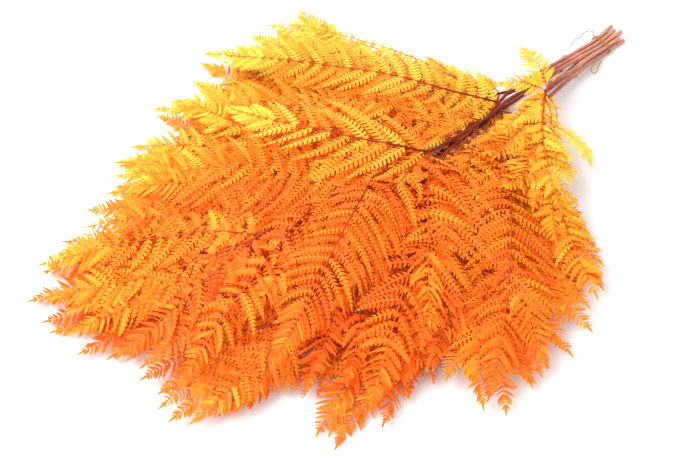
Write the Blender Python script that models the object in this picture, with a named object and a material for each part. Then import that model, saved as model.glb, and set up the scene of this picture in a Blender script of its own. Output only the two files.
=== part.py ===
"""A tied bunch of dyed bracken fronds, lying on its side.

Every frond is a bare stalk and a flat, three times divided blade. The stalks
are bound with twine near their cut ends. The blades lie on one another like
thatch: each frond follows its own sheet of one low heap, so that no blade
cuts through its neighbour.

Lengths below are in millimetres in the plan of the bunch: the twine is at
x = 0, the cut ends lie towards +X, the foliage towards -X, the floor is z = 0.
"""

import math
import random

import bmesh
import bpy
from mathutils import Vector

MM = 0.001
SEED = 11

# where the middle of the whole bunch lands on the floor
SHIFT = (316.0, -9.5)

# the heap of foliage
HEAP_CENTRE = (-375.0, 12.0)
HEAP_HALF = (318.0, 286.0)
FLOOR_GAP = 1.5
STEP_RIM = 1.4
STEP_TOP = 11.0
STEP_NECK = 2.6
STEEPNESS = 1.9

# how far the foliage reaches from the heap's centre, every 30 degrees
REACH = (300, 250, 292, 256, 262, 318, 290, 262, 250, 266, 292, 268)

# blades
BLADE = 0.85
RIB_HALF = 1.5
PITCH = 22.0
LEAFLET_MAX = 66.0
END_LEAFLET = 80.0
PAIRS_AT = (0.025, 0.22, 0.40, 0.55)
END_AT = 0.66
HOLD_BACK = 0.53
LIFTS = (-0.34, 0.1, 0.34, -0.1, 0.22)

# stalks and their binding
STALK_R = 2.15
STALK_PITCH = 4.9
ROW_RISE = 4.4
TIE_HEIGHT = 4.8
TIE_FROM, TIE_TO = 3.0, 16.0
CUT_HEIGHT = 2.5
CUT_RISE = 5.0
SPLAY_OVER = 26.0
SPLAY = 0.25
JOIN_X = -150.0
COLOUR_GAP = 0.3
FLAT_STALK = 1
TWINE_R = 0.6
TWINE_PITCH = 1.9
TWINE_TURNS = 2.5
TWINE_LOOP = ((-7, -15.5, 5), (-14, -18, 4), (-21, -22, 3.5), (-26, -22.5, 5), (-28, -19, 7.5),
              (-24, -16, 10), (-15, -15, 11), (-6, -15.2, 10.5), (2, -15, 9.5))
TWINE_END = ((12.5, 15.2, 9), (12, 17, 12), (8, 20, 13), (2, 22, 11.5), (-3, 21, 9),
             (-8, 24, 7.5), (-12, 22.5, 5), (-16, 24.5, 3))


class Frond:
    """One frond: where it forks, how its midrib runs and how its arms are set."""

    def __init__(self, fork, bend, tip, row, column, arms=None, reach=(190, 190)):
        self.fork = fork
        self.bend = bend
        self.tip = tip
        self.row = row
        self.column = column
        self.arms = arms or {}
        self.reach = reach


# Lowest frond first. "arms" holds arms whose course was seen: (pair, side) gives
# the bend and the tip. Side 1 is on the left of the midrib, side -1 on its right.
FRONDS = (
    Frond((-240, 15), (-345, 110), (-490, 240), 0, 2, reach=(200, 225)),
    Frond((-190, -12), (-350, -92), (-545, -168), 0, 0, reach=(200, 200)),
    Frond((-270, 5), (-460, 28), (-672, 134), 0, 1, reach=(215, 225)),
    Frond((-250, -20), (-430, -58), (-638, -42), 0, -1, reach=(200, 215)),
    Frond((-215, -30), (-290, -118), (-398, -256), 0, -2, reach=(215, 215)),
    Frond((-138, 9), (-226, 62), (-214, 258), 1, 1.5, reach=(215, 95)),
    Frond((-148, 2), (-280, -20), (-450, -35), 1, 0.5,
          arms={(0, 1): ((-268, -152), (-408, -236)), (0, -1): ((-228, 132), (-342, 282)),
                (1, 1): ((-365, -82), (-500, -172)), (1, -1): ((-300, 128), (-432, 258))}),
    Frond((-258, -8), (-425, 6), (-655, 92), 1, -0.5,
          arms={(0, 1): ((-322, -62), (-400, -150)), (0, -1): ((-342, 52), (-378, 192)),
                (1, 1): ((-430, -45), (-566, -88)), (1, -1): ((-400, 72), (-490, 206)),
                (2, 1): ((-500, 2), (-612, -28)), (2, -1): ((-450, 96), (-560, 196)),
                (3, 1): ((-540, 34), (-640, 36)), (3, -1): ((-520, 118), (-634, 178))}),
    Frond((-105, -22), (-150, -112), (-244, -228), 1, -1.5,
          arms={(0, 1): ((-50, -38), (-66, 60)), (0, -1): ((-170, -52), (-222, -96))},
          reach=(72, 85)),
)

# the tips of the two lowest fronds touch the floor, and how far round them the blade bends down
FEET = {0: (-490, 240), 1: (-545, -168)}
FOOT_REACH = 75.0

# the narrow arm that curls back over the stalks, and how far it lifts off its sheet
CURLED = (8, 0)
CURL_LIFT = 3.0
CURL_LEAFLET = 18.0


def smooth(t):
    """An even start and stop between 0 and 1."""
    t = min(1.0, max(0.0, t))
    return t * t * (3.0 - 2.0 * t)


def mix(a, b, t):
    """The point or number at the share t between a and b."""
    if isinstance(a, (tuple, list)):
        return tuple(p + (q - p) * t for p, q in zip(a, b))
    return a + (b - a) * t


def curve(a, b, c, t):
    """A point of the bent line from a to c that leans towards b."""
    return mix(mix(a, b, t), mix(b, c, t), t)


def turn(v, degrees):
    """A plan direction turned anticlockwise."""
    s, c = math.sin(math.radians(degrees)), math.cos(math.radians(degrees))
    return (v[0] * c - v[1] * s, v[0] * s + v[1] * c)


def unit(a, b):
    """The plan direction from a to b."""
    d = math.hypot(b[0] - a[0], b[1] - a[1])
    return ((b[0] - a[0]) / d, (b[1] - a[1]) / d)


def reach_at(x, y):
    """The heap's reach from its centre in the direction of a plan point."""
    turns = (math.atan2(y - HEAP_CENTRE[1], x - HEAP_CENTRE[0]) / (2 * math.pi)) % 1.0 * 12
    i = int(turns) % 12
    return mix(REACH[i], REACH[(i + 1) % 12], smooth(turns - int(turns)))


def sheet(level, x, y):
    """The height of a frond's sheet: the sheets fan out from the floor."""
    u = (x - HEAP_CENTRE[0]) / HEAP_HALF[0]
    v = (y - HEAP_CENTRE[1]) / HEAP_HALF[1]
    bell = math.exp(-STEEPNESS * (u * u + v * v))
    neck = math.exp(-(y / 42.0) ** 2) * smooth((x + 190.0) / 70.0)
    step = STEP_RIM + (STEP_TOP - STEP_RIM) * bell + STEP_NECK * neck
    z = FLOOR_GAP + (level + 0.5) * step
    if level in FEET:
        z = mix(BLADE / 2, z, smooth(math.dist((x, y), FEET[level]) / FOOT_REACH))
    return z


def paint(obj, colour, rough):
    """Give an object its own plain material."""
    mat = bpy.data.materials.new(obj.name)
    mat.use_nodes = True
    shader = mat.node_tree.nodes["Principled BSDF"]
    shader.inputs["Base Color"].default_value = (*colour, 1.0)
    shader.inputs["Roughness"].default_value = rough
    shader.inputs["Metallic"].default_value = 0.0
    obj.data.materials.append(mat)


def mesh_object(name, verts, faces):
    """Make an object from millimetre points of the plan."""
    mesh = bpy.data.meshes.new(name)
    mesh.from_pydata([((x + SHIFT[0]) * MM, (y + SHIFT[1]) * MM, z * MM)
                      for x, y, z in verts], [], faces)
    bm = bmesh.new()
    bm.from_mesh(mesh)
    bmesh.ops.triangulate(bm, faces=[f for f in bm.faces if len(f.verts) > 3])
    bmesh.ops.recalc_face_normals(bm, faces=bm.faces)
    bm.to_mesh(mesh)
    bm.free()
    obj = bpy.data.objects.new(name, mesh)
    bpy.context.scene.collection.objects.link(obj)
    return obj


def tube(name, points, radii, sides):
    """A closed round bar along a line, with flat ends and a flat underside."""
    verts, faces = [], []
    pts = [Vector(p) for p in points]
    for i, p in enumerate(pts):
        ahead = (pts[min(i + 1, len(pts) - 1)] - pts[max(i - 1, 0)]).normalized()
        across = ahead.cross(Vector((0, 0, 1)))
        if across.length < 0.2:
            across = ahead.cross(Vector((0, 1, 0)))
        across.normalize()
        up = across.cross(ahead).normalized()
        for k in range(sides):
            a = 2 * math.pi * (k + 0.5) / sides - math.pi / 2
            verts.append(p + (across * math.cos(a) + up * math.sin(a)) * radii[i])
    for i in range(len(pts) - 1):
        for k in range(sides):
            a, b = i * sides + k, i * sides + (k + 1) % sides
            faces.append((a, b, b + sides, a + sides))
    faces.append(tuple(range(sides - 1, -1, -1)))
    faces.append(tuple((len(pts) - 1) * sides + k for k in range(sides)))
    obj = mesh_object(name, verts, faces)
    ends = ((pts[1] - pts[0]).normalized(), (pts[-1] - pts[-2]).normalized())
    for poly in obj.data.polygons:
        poly.use_smooth = all(abs(poly.normal.dot(end)) < 0.97 for end in ends)
    return obj


def comb(name, stations, tips, heights):
    """A thin blade cut to its rib: one leaflet on each side of every rib length.

    stations are (left, right) rib edges, tips the (left, right) leaflet ends
    between them, and the last station is followed by the blade's own end.
    """
    outline = [left for left, _ in stations]
    right = [r for _, r in stations]
    n = len(outline) - 1
    plan = outline + right + [t[0] for t in tips] + [t[1] for t in tips[:-1]]
    end = 2 * (n + 1) + n
    left_tip, right_tip = 2 * (n + 1), 2 * (n + 1) + n + 1
    top = [(left_tip + n, n, n + 1 + n)]
    loop = []
    for i in range(n):
        a, b, c, d = i, i + 1, n + 1 + i, n + 2 + i
        top += [(a, c, b), (b, c, d), (a, b, left_tip + i), (d, c, right_tip + i)]
        loop += [a, left_tip + i]
    loop += [n, end]
    for i in range(n, 0, -1):
        loop += [n + 1 + i, right_tip + i - 1]
    loop.append(n + 1)
    size = len(plan)
    verts = [(p[0], p[1], heights(p) + BLADE / 2) for p in plan]
    verts += [(p[0], p[1], heights(p) - BLADE / 2) for p in plan]
    faces = list(top) + [tuple(v + size for v in reversed(f)) for f in top]
    for i, a in enumerate(loop):
        b = loop[(i + 1) % len(loop)]
        faces += [(a, b, b + size), (a, b + size, a + size)]
    return mesh_object(name, verts, faces)


def arms_of(frond, rng):
    """The bent lines of a frond's side arms and of its end, as (start, bend, tip, side)."""
    lines = []
    for pair, share in enumerate(PAIRS_AT):
        start = curve(frond.fork, frond.bend, frond.tip, share)
        ahead = unit(start, curve(frond.fork, frond.bend, frond.tip, share + 0.02))
        for side in (1, -1):
            wobble, stretch = rng.uniform(-4, 4), rng.uniform(0.93, 1.07)
            if (pair, side) in frond.arms:
                bend, tip = frond.arms[pair, side]
            else:
                length = frond.reach[0 if side == 1 else 1] * (1.0 - share) ** 0.8 * stretch
                opening = mix(60, 38, share) + wobble
                out = turn(ahead, side * (opening + 7))
                far = turn(ahead, side * (opening - 9))
                bend = (start[0] + out[0] * length * 0.5, start[1] + out[1] * length * 0.5)
                tip = (start[0] + far[0] * length, start[1] + far[1] * length)
                over = math.dist(tip, HEAP_CENTRE) / (reach_at(*tip) * rng.uniform(0.95, 1.02))
                if over > 1.0:
                    tip = mix(HEAP_CENTRE, tip, 1.0 / over)
                    bend = mix(start, mix(bend, tip, 0.15), min(1.0, 1.15 / over))
            lines.append((start, bend, tip, side))
    last = curve(frond.fork, frond.bend, frond.tip, END_AT)
    lines.append((last, mix(frond.bend, frond.tip, END_AT), frond.tip, 0))
    return lines


def free_length(base, way, wish, own, others, midrib):
    """How long a leaflet may grow before it meets the next arm's half or the midrib."""
    length = wish
    while length > 3.0:
        tip = (base[0] + way[0] * length, base[1] + way[1] * length)
        near = min(math.dist(tip, p) for p in own)
        if (all(math.dist(tip, p) * HOLD_BACK / (1 - HOLD_BACK) > near for p in others)
                and all(math.dist(tip, p) > 4.0 for p in midrib)):
            return length
        length -= 2.0
    return length


def blade_of(name, line, rest, midrib, lift, leaflet, level, rng):
    """The comb blade of one arm."""
    start, bend, tip, side = line
    span = math.dist(start, bend) + math.dist(bend, tip)
    span = (span + math.dist(start, tip)) / 2
    count = max(3, round(span / PITCH))
    own = [curve(start, bend, tip, i / 24) for i in range(25)]
    others = [curve(*other[:3], i / 20) for other in rest for i in range(1, 21)]
    midrib = midrib if side else []
    stations, ways = [], []
    for i in range(count + 1):
        t = 0.97 * (i / count) ** 0.93
        p = curve(start, bend, tip, t)
        ahead = unit(p, curve(start, bend, tip, min(1.0, t + 0.02)))
        rib = mix(RIB_HALF, 0.8, t)
        across = turn(ahead, 90)
        stations.append(((p[0] + across[0] * rib, p[1] + across[1] * rib),
                         (p[0] - across[0] * rib, p[1] - across[1] * rib)))
        ways.append((t, p, ahead))
    tips = []
    for i in range(count):
        t = (ways[i][0] + ways[i + 1][0]) / 2
        middle = mix(ways[i][1], ways[i + 1][1], 0.5)
        wish = leaflet * (1.0 - t) ** 0.75
        if side:
            wish = leaflet * min(1.0, span / 190) ** 0.6 * (1.0 - t) ** 0.55 * smooth(0.5 + 3 * t)
        wish *= rng.uniform(0.92, 1.06)
        both = []
        for hand in (1, -1):
            way = turn(ways[i][2], hand * (mix(62, 42, t) + rng.uniform(-3, 3)))
            length = free_length(middle, way, wish, own, others, midrib)
            both.append((middle[0] + way[0] * length, middle[1] + way[1] * length))
        tips.append(tuple(both))
    tips.append((tip, tip))
    return comb(name, stations, tips,
                lambda p: max(BLADE / 2, sheet(level, *p) + min(lift, math.dist(p, start) / 5)))


def join_all(name, bodies):
    """Fuse overlapping bodies into the first one with one Boolean union."""
    first, rest = bodies[0], bodies[1:]
    first.name = name
    group = bpy.data.collections.new(name + "_parts")
    bpy.context.scene.collection.children.link(group)
    for body in rest:
        bpy.context.scene.collection.objects.unlink(body)
        group.objects.link(body)
    union = first.modifiers.new("union", "BOOLEAN")
    union.operation = "UNION"
    union.operand_type = "COLLECTION"
    union.collection = group
    union.solver = "MANIFOLD"
    bpy.context.view_layer.objects.active = first
    bpy.ops.object.modifier_apply(modifier=union.name)
    for body in list(group.objects):
        bpy.data.objects.remove(body, do_unlink=True)
    bpy.data.collections.remove(group)
    bm = bmesh.new()
    bm.from_mesh(first.data)
    bmesh.ops.dissolve_limit(bm, angle_limit=math.radians(0.3), verts=bm.verts, edges=bm.edges)
    bmesh.ops.triangulate(bm, faces=bm.faces)
    bm.to_mesh(first.data)
    bm.free()
    return first


def build_frond(level, frond):
    """The orange part of one frond: midrib, arms and leaflets in one body."""
    rng = random.Random(SEED + level)
    start = mix(frond.fork, curve(frond.fork, frond.bend, frond.tip, 0.02),
                COLOUR_GAP / math.dist(frond.fork, curve(frond.fork, frond.bend, frond.tip, 0.02)))
    steps = 7
    points, radii = [], []
    for i in range(steps + 1):
        t = (END_AT + 0.045) * i / steps
        x, y = start if i == 0 else curve(frond.fork, frond.bend, frond.tip, t)
        points.append((x, y, sheet(level, x, y)))
        radii.append(mix(1.75, 0.75, t))
    bodies = [tube("midrib", points, radii, 6)]
    lines = arms_of(frond, rng)
    midrib = [curve(frond.fork, frond.bend, frond.tip, i / 60) for i in range(50)]
    stalk = [stalk_point(level, frond, frond.fork[0] + 4 * i)[:2] for i in range(2, 24)]
    for i, line in enumerate(lines):
        rest = [other for other in lines if other is not line]
        curled = (level, i) == CURLED
        lift = CURL_LIFT if curled else LIFTS[i % len(LIFTS)]
        block = midrib if curled else midrib + stalk
        leaflet = CURL_LEAFLET if curled else LEAFLET_MAX
        if line[3] == 0:
            leaflet = END_LEAFLET * sum(frond.reach) / 400
        bodies.append(blade_of("blade", line, rest, block, lift, leaflet, level, rng))
    whole = join_all(f"frond_{level + 1}", bodies)
    paint(whole, (0.85, 0.23, 0.02), 0.75)
    return whole


def stalk_point(level, frond, x):
    """The centre of a stalk at a plan x between its cut end and its fork."""
    column = frond.column * STALK_PITCH
    row = TIE_HEIGHT + frond.row * ROW_RISE
    if x > TIE_FROM:
        u = max(0.0, x - TIE_TO) / SPLAY_OVER
        return (x, column * (1 + SPLAY * u), mix(row, CUT_HEIGHT + frond.row * CUT_RISE, u))
    fork, join = frond.fork[0] - TIE_FROM, max(JOIN_X, frond.fork[0]) - TIE_FROM
    back = x - TIE_FROM
    y = mix(column, frond.fork[1], smooth(back / fork))
    if back > join:
        y_join = mix(column, frond.fork[1], smooth(join / fork))
        return (x, y, mix(row, sheet(level, join + TIE_FROM, y_join), back / join))
    return (x, y, sheet(level, x, y))


def build_stalk(level, frond):
    """A bare stalk with a knuckle where a lower pair of arms was stripped."""
    rng = random.Random(SEED * 7 + level)
    cut = 42 if level == FLAT_STALK else rng.uniform(25, 44)
    knuckle = rng.uniform(-62, -24)
    marks = [cut, 25, TIE_TO, TIE_FROM, knuckle + 6, knuckle, knuckle - 6, -95, JOIN_X, -190, -225]
    marks = [m for m in marks if frond.fork[0] + 9 < m]
    points = [stalk_point(level, frond, m) for m in marks]
    ahead = unit(frond.fork, curve(frond.fork, frond.bend, frond.tip, 0.1))
    for back in (5.0, 0.0):
        x, y = frond.fork[0] - ahead[0] * back, frond.fork[1] - ahead[1] * back
        points.append((x, y, sheet(level, x, y)))
    radii = [STALK_R * mix(1.0, 0.84, smooth(-p[0] / 200)) for p in points]
    for i, m in enumerate(marks):
        if m == knuckle:
            radii[i] += 0.45
    if level == FLAT_STALK:
        points[:2] = [(x, y, STALK_R * math.cos(math.pi / 8)) for x, y, _ in points[:2]]
    body = tube(f"stem_{level + 1}", points, radii, 8)
    paint(body, (0.35, 0.13, 0.08), 0.6)
    return body


def build_twine():
    """Twine wound round the stalks, with a small loop and a loose end."""
    wound = []
    steps = 20
    for i in range(int(TWINE_TURNS * steps) + 1):
        turns = i / steps
        x = (TIE_FROM + TIE_TO) / 2 + (turns - TWINE_TURNS / 2) * TWINE_PITCH
        a = math.pi + 2 * math.pi * turns
        way = (math.cos(a), math.sin(a))
        far = max((stalk_point(k, f, x) for k, f in enumerate(FRONDS)),
                  key=lambda c: c[1] * way[0] + c[2] * way[1])
        r = STALK_R + TWINE_R + 0.35
        wound.append((x, far[1] + way[0] * r, far[2] + way[1] * r))
    path = list(TWINE_LOOP) + wound + list(TWINE_END)
    body = tube("twine", path, [TWINE_R] * len(path), 5)
    paint(body, (0.55, 0.36, 0.14), 0.85)
    return body


def main():
    """Clear the scene and build every piece of the bunch."""
    for obj in list(bpy.data.objects):
        bpy.data.objects.remove(obj, do_unlink=True)
    for level, frond in enumerate(FRONDS):
        build_frond(level, frond)
        build_stalk(level, frond)
    build_twine()


main()
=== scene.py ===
"""The look of a tied bunch of dyed, dried bracken fronds that lies on a pale floor.

The solids give every frond its place. This script puts a finer frond in the same
place: a rib along the midrib and along every side arm, leaflets cut into small
lobes, grooved stalks with their knuckles, and the twisted twine.

Plan lengths are in millimetres, as in the solids: the twine is near x = 0, the cut
ends lie towards +X, the foliage towards -X, and the floor is z = 0.
"""

import logging
import math
import random
from dataclasses import dataclass, field, replace
from enum import Enum
from typing import ClassVar

import bmesh
import bpy
import numpy as np
from mathutils import Matrix, Vector


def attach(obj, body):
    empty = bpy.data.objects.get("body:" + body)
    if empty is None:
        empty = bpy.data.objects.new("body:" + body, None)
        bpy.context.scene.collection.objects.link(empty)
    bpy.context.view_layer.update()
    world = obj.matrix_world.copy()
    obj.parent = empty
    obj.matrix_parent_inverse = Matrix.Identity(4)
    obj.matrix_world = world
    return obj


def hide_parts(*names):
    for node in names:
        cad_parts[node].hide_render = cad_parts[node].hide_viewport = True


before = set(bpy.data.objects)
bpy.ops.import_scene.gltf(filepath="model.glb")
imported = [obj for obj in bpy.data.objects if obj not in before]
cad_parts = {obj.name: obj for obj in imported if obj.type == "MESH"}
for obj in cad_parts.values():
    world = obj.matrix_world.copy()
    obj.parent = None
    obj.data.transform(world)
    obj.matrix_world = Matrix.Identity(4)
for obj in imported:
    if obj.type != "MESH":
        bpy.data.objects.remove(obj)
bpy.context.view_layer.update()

LOG = logging.getLogger("bracken")
Point = tuple[float, float]
Place = tuple[float, float, float]
Number = np.ndarray | float

MM = 0.001
SEED = 11
PLAN_SHIFT = np.array((316.0, -9.5, 0.0))
# the sockets of a colour mix node: its two colours, and its result
MIX_A, MIX_B, MIX_RESULT = 6, 7, 2
# the arm that curls back over the stalks: its frond's level, its pair and its side
CURLED = (8, 0, 1)


class Slot(Enum):
    """The material slots."""

    FOLIAGE = "foliage"
    STALKS = "stalks"
    TWINE = "twine"


def smooth(t: Number) -> Number:
    """An even start and stop between 0 and 1."""
    t = np.clip(t, 0.0, 1.0)
    return t * t * (3.0 - 2.0 * t)


def mix(a: Number, b: Number, t: Number) -> Number:
    """The value at the share t between a and b."""
    return a + (b - a) * t


def turned(direction: np.ndarray, degrees: float) -> np.ndarray:
    """A plan direction turned anticlockwise."""
    s, c = math.sin(math.radians(degrees)), math.cos(math.radians(degrees))
    return np.array((direction[0] * c - direction[1] * s, direction[0] * s + direction[1] * c))


def heading_vector(radians: float) -> np.ndarray:
    """The plan direction of an angle."""
    return np.array((math.cos(radians), math.sin(radians)))


def gaps(points: np.ndarray, others: np.ndarray) -> np.ndarray:
    """The distance from each plan point to the nearest of some others."""
    return np.linalg.norm(points[:, None] - others[None], axis=2).min(1)


def linear(code: str) -> tuple[float, float, float, float]:
    """The linear colour of an sRGB hex value.

    Args:
        code: Six hex digits, red first.

    Returns:
        Red, green, blue and an alpha of 1.
    """
    channels = [int(code[i:i + 2], 16) / 255.0 for i in (0, 2, 4)]
    low = [c / 12.92 if c <= 0.04045 else ((c + 0.055) / 1.055) ** 2.4 for c in channels]
    return (low[0], low[1], low[2], 1.0)


def add(tree: bpy.types.NodeTree, kind: str, settings: dict, links: dict) -> bpy.types.Node:
    """Add one shader node with its settings and its links.

    Args:
        tree: The material's node tree.
        kind: The node's type.
        settings: A value for each property, or for each input named or numbered.
        links: The output socket that feeds each input.

    Returns:
        The new node.
    """
    node = tree.nodes.new(kind)
    for key, value in settings.items():
        if isinstance(key, str) and hasattr(node, key):
            setattr(node, key, value)
        else:
            node.inputs[key].default_value = value
    for key, socket in links.items():
        tree.links.new(socket, node.inputs[key])
    return node


def start_material(name: str) -> tuple[bpy.types.Material, bpy.types.NodeTree, bpy.types.Node]:
    """Start a material.

    Args:
        name: Its name.

    Returns:
        The material, its node tree and its shader.
    """
    made = bpy.data.materials.new(name)
    made.use_nodes = True
    return made, made.node_tree, made.node_tree.nodes["Principled BSDF"]


def linked(name: str, data: bpy.types.ID) -> bpy.types.Object:
    """Put data into the scene.

    Args:
        name: The name of its object.
        data: A mesh, a camera or a light.

    Returns:
        The object.
    """
    made = bpy.data.objects.new(name, data)
    bpy.context.scene.collection.objects.link(made)
    return made


def fill_ramp(node: bpy.types.Node, stops: tuple[tuple[float, str], ...]) -> None:
    """Give a colour ramp its stops.

    Args:
        node: The ramp node.
        stops: The place and the sRGB hex value of each stop, in order.
    """
    ramp = node.color_ramp
    while len(ramp.elements) < len(stops):
        ramp.elements.new(1.0)
    for element, (place, code) in zip(ramp.elements, stops):
        element.position = place
        element.color = linear(code)


@dataclass(frozen=True)
class DyedLeaf:
    """Dried bracken leaf, soaked in orange dye: matt and a little waxy; where it is paler at the heap's
    rim, that is painted light shining through the thin leaf.

    Attributes:
        stops: The dye's colours along the tone, from the heap's middle, a deeper orange as painted shade,
            to its rim, paler as painted light.
        vein: The pinkish colour of a leaflet's rib.
        vein_rim: Where the vein starts and ends to fade, as values of the attribute rim.
        vein_share: How much of the vein's colour shows.
        edge: The colour of the cut edges.
        edge_rim: Where the cut edge starts, and where it is strongest.
        edge_share: How much of the edge's colour shows.
        blotch_mm: The size of the patches in which the dye took unevenly.
        blotch_shift: How far they shift the colour along the ramp.
        grain_mm: The size of the leaf's cells, as coarse as they need to show.
        grain_depth_mm: How deep the cells are.
        grain_relief: How strongly they show.
        roughness: The lowest and the highest roughness of the leaf.
        shine: The specular level of its waxy skin.
        glow: How much light passes through it.
        glow_mm: How far red, green and blue light travel inside it.
    """

    name: str = "dyed_dried_leaf"
    stops: tuple[tuple[float, str], ...] = (
        (0.0, "FC5204"), (0.3, "FF6C08"), (0.58, "FF9014"), (0.82, "FFB42A"), (1.0, "FFD044"))
    vein: str = "FF8A4C"
    vein_rim: Point = (0.01, 0.1)
    vein_share: float = 0.6
    edge: str = "D94C08"
    edge_rim: Point = (0.8, 1.0)
    edge_share: float = 0.22
    blotch_mm: float = 2.2
    blotch_shift: float = 0.34
    grain_mm: float = 0.5
    grain_depth_mm: float = 0.2
    grain_relief: float = 0.25
    roughness: Point = (0.47, 0.65)
    shine: float = 0.22
    glow: float = 0.2
    glow_mm: Place = (1.2, 0.5, 0.1)

    def material(self) -> bpy.types.Material:
        """Make the leaf's material.

        Returns:
            A material whose colour follows the attributes tone and rim.
        """
        made, tree, shader = start_material(self.name)
        place = add(tree, "ShaderNodeTexCoord", {}, {}).outputs["Object"]
        tone = add(tree, "ShaderNodeAttribute", {"attribute_name": "tone"}, {})
        rim = add(tree, "ShaderNodeAttribute", {"attribute_name": "rim"}, {})
        # the dye takes unevenly, so soft patches half a lobe wide shift the tone
        blotch = add(tree, "ShaderNodeTexNoise", {"Scale": 1.0 / (self.blotch_mm * MM), "Detail": 3.0},
                     {"Vector": place})
        shift = add(tree, "ShaderNodeMath",
                    {"operation": "MULTIPLY_ADD", 1: self.blotch_shift, 2: -self.blotch_shift / 2},
                    {0: blotch.outputs["Fac"]})
        dyed = add(tree, "ShaderNodeMath", {"operation": "ADD", "use_clamp": True},
                   {0: tone.outputs["Fac"], 1: shift.outputs["Value"]})
        # the tone carries painted light from the heap: paler at the rim and on the far side, a deeper
        # orange in the middle and on the near side
        colour = add(tree, "ShaderNodeValToRGB", {}, {"Fac": dyed.outputs["Value"]})
        fill_ramp(colour, self.stops)
        # a pinkish vein runs along the middle of each leaflet
        near = add(tree, "ShaderNodeMapRange",
                   {"From Min": self.vein_rim[0], "From Max": self.vein_rim[1],
                    "To Min": self.vein_share, "To Max": 0.0},
                   {"Value": rim.outputs["Fac"]})
        veined = add(tree, "ShaderNodeMix", {"data_type": "RGBA", MIX_B: linear(self.vein)},
                     {0: near.outputs["Result"], MIX_A: colour.outputs["Color"]})
        # the cut edges dry a shade darker
        edge = add(tree, "ShaderNodeMapRange",
                   {"From Min": self.edge_rim[0], "From Max": self.edge_rim[1],
                    "To Min": 0.0, "To Max": self.edge_share},
                   {"Value": rim.outputs["Fac"]})
        edged = add(tree, "ShaderNodeMix", {"data_type": "RGBA", MIX_B: linear(self.edge)},
                    {0: edge.outputs["Result"], MIX_A: veined.outputs[MIX_RESULT]})
        grain = add(tree, "ShaderNodeTexNoise", {"Scale": 1.0 / (self.grain_mm * MM), "Detail": 2.0},
                    {"Vector": place})
        relief = add(tree, "ShaderNodeBump",
                     {"Strength": self.grain_relief, "Distance": self.grain_depth_mm * MM},
                     {"Height": grain.outputs["Fac"]})
        rough = add(tree, "ShaderNodeMapRange",
                    {"To Min": self.roughness[0], "To Max": self.roughness[1]},
                    {"Value": blotch.outputs["Fac"]})
        tree.links.new(edged.outputs[MIX_RESULT], shader.inputs["Base Color"])
        tree.links.new(relief.outputs["Normal"], shader.inputs["Normal"])
        tree.links.new(rough.outputs["Result"], shader.inputs["Roughness"])
        shader.inputs["Specular IOR Level"].default_value = self.shine
        # light passes through so thin a leaf, and comes out redder
        shader.inputs["Subsurface Weight"].default_value = self.glow
        shader.inputs["Subsurface Radius"].default_value = self.glow_mm
        shader.inputs["Subsurface Scale"].default_value = MM
        return made


@dataclass(frozen=True)
class DriedStalk:
    """Dried fern stalk: satin skin with fine lengthwise ribs, pale towards the cut end, partly its own
    colour and partly painted light, and darker towards the foliage as painted shade.

    Attributes:
        stops: The skin's colours, from the foliage end, darkened as painted shade, to the cut end, pale
            partly by its own colour and partly as painted light.
        streak: The dark colour between the fibres.
        streak_fibre: Where in the fibre pattern a streak starts, and where it is darkest.
        streak_share: How much of the streak's colour shows.
        streak_mm: The width of a fibre.
        stretch: The pattern's scale along the stalk, as a share of that across it.
        patch_mm: The length of the paler and darker stretches of skin.
        patch_shift: How far they shift the colour along the ramp.
        relief: How strongly the fibres show.
        relief_mm: How deep they are.
        shine: Its specular level.
    """

    name: str
    stops: tuple[tuple[float, str], ...]
    streak: str
    streak_fibre: Point = (0.52, 0.75)
    streak_share: float = 0.55
    streak_mm: float = 0.7
    stretch: float = 0.03
    patch_mm: float = 14.0
    patch_shift: float = 0.5
    relief: float = 0.4
    relief_mm: float = 0.25
    roughness: float = 0.5
    shine: float = 0.25

    def material(self) -> bpy.types.Material:
        """Make the stalk's material.

        Returns:
            A material whose colour follows the attribute tone.
        """
        made, tree, shader = start_material(self.name)
        place = add(tree, "ShaderNodeTexCoord", {}, {}).outputs["Object"]
        tone = add(tree, "ShaderNodeAttribute", {"attribute_name": "tone"}, {})
        # fibres run along the bunch, so the pattern is drawn out along X
        drawn = add(tree, "ShaderNodeMapping", {"Scale": (self.stretch, 1.0, 1.0)}, {"Vector": place})
        fibre = add(tree, "ShaderNodeTexNoise", {"Scale": 1.0 / (self.streak_mm * MM), "Detail": 3.0},
                    {"Vector": drawn.outputs["Vector"]})
        patch = add(tree, "ShaderNodeTexNoise", {"Scale": 1.0 / (self.patch_mm * MM), "Detail": 2.0},
                    {"Vector": place})
        shift = add(tree, "ShaderNodeMath",
                    {"operation": "MULTIPLY_ADD", 1: self.patch_shift, 2: -self.patch_shift / 2},
                    {0: patch.outputs["Fac"]})
        shifted_tone = add(tree, "ShaderNodeMath", {"operation": "ADD", "use_clamp": True},
                   {0: tone.outputs["Fac"], 1: shift.outputs["Value"]})
        colour = add(tree, "ShaderNodeValToRGB", {}, {"Fac": shifted_tone.outputs["Value"]})
        fill_ramp(colour, self.stops)
        line = add(tree, "ShaderNodeMapRange",
                   {"From Min": self.streak_fibre[0], "From Max": self.streak_fibre[1],
                    "To Max": self.streak_share},
                   {"Value": fibre.outputs["Fac"]})
        streaked = add(tree, "ShaderNodeMix", {"data_type": "RGBA", MIX_B: linear(self.streak)},
                       {0: line.outputs["Result"], MIX_A: colour.outputs["Color"]})
        raised = add(tree, "ShaderNodeBump", {"Strength": self.relief, "Distance": self.relief_mm * MM},
                     {"Height": fibre.outputs["Fac"]})
        tree.links.new(streaked.outputs[MIX_RESULT], shader.inputs["Base Color"])
        tree.links.new(raised.outputs["Normal"], shader.inputs["Normal"])
        shader.inputs["Roughness"].default_value = self.roughness
        shader.inputs["Specular IOR Level"].default_value = self.shine
        return made


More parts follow.
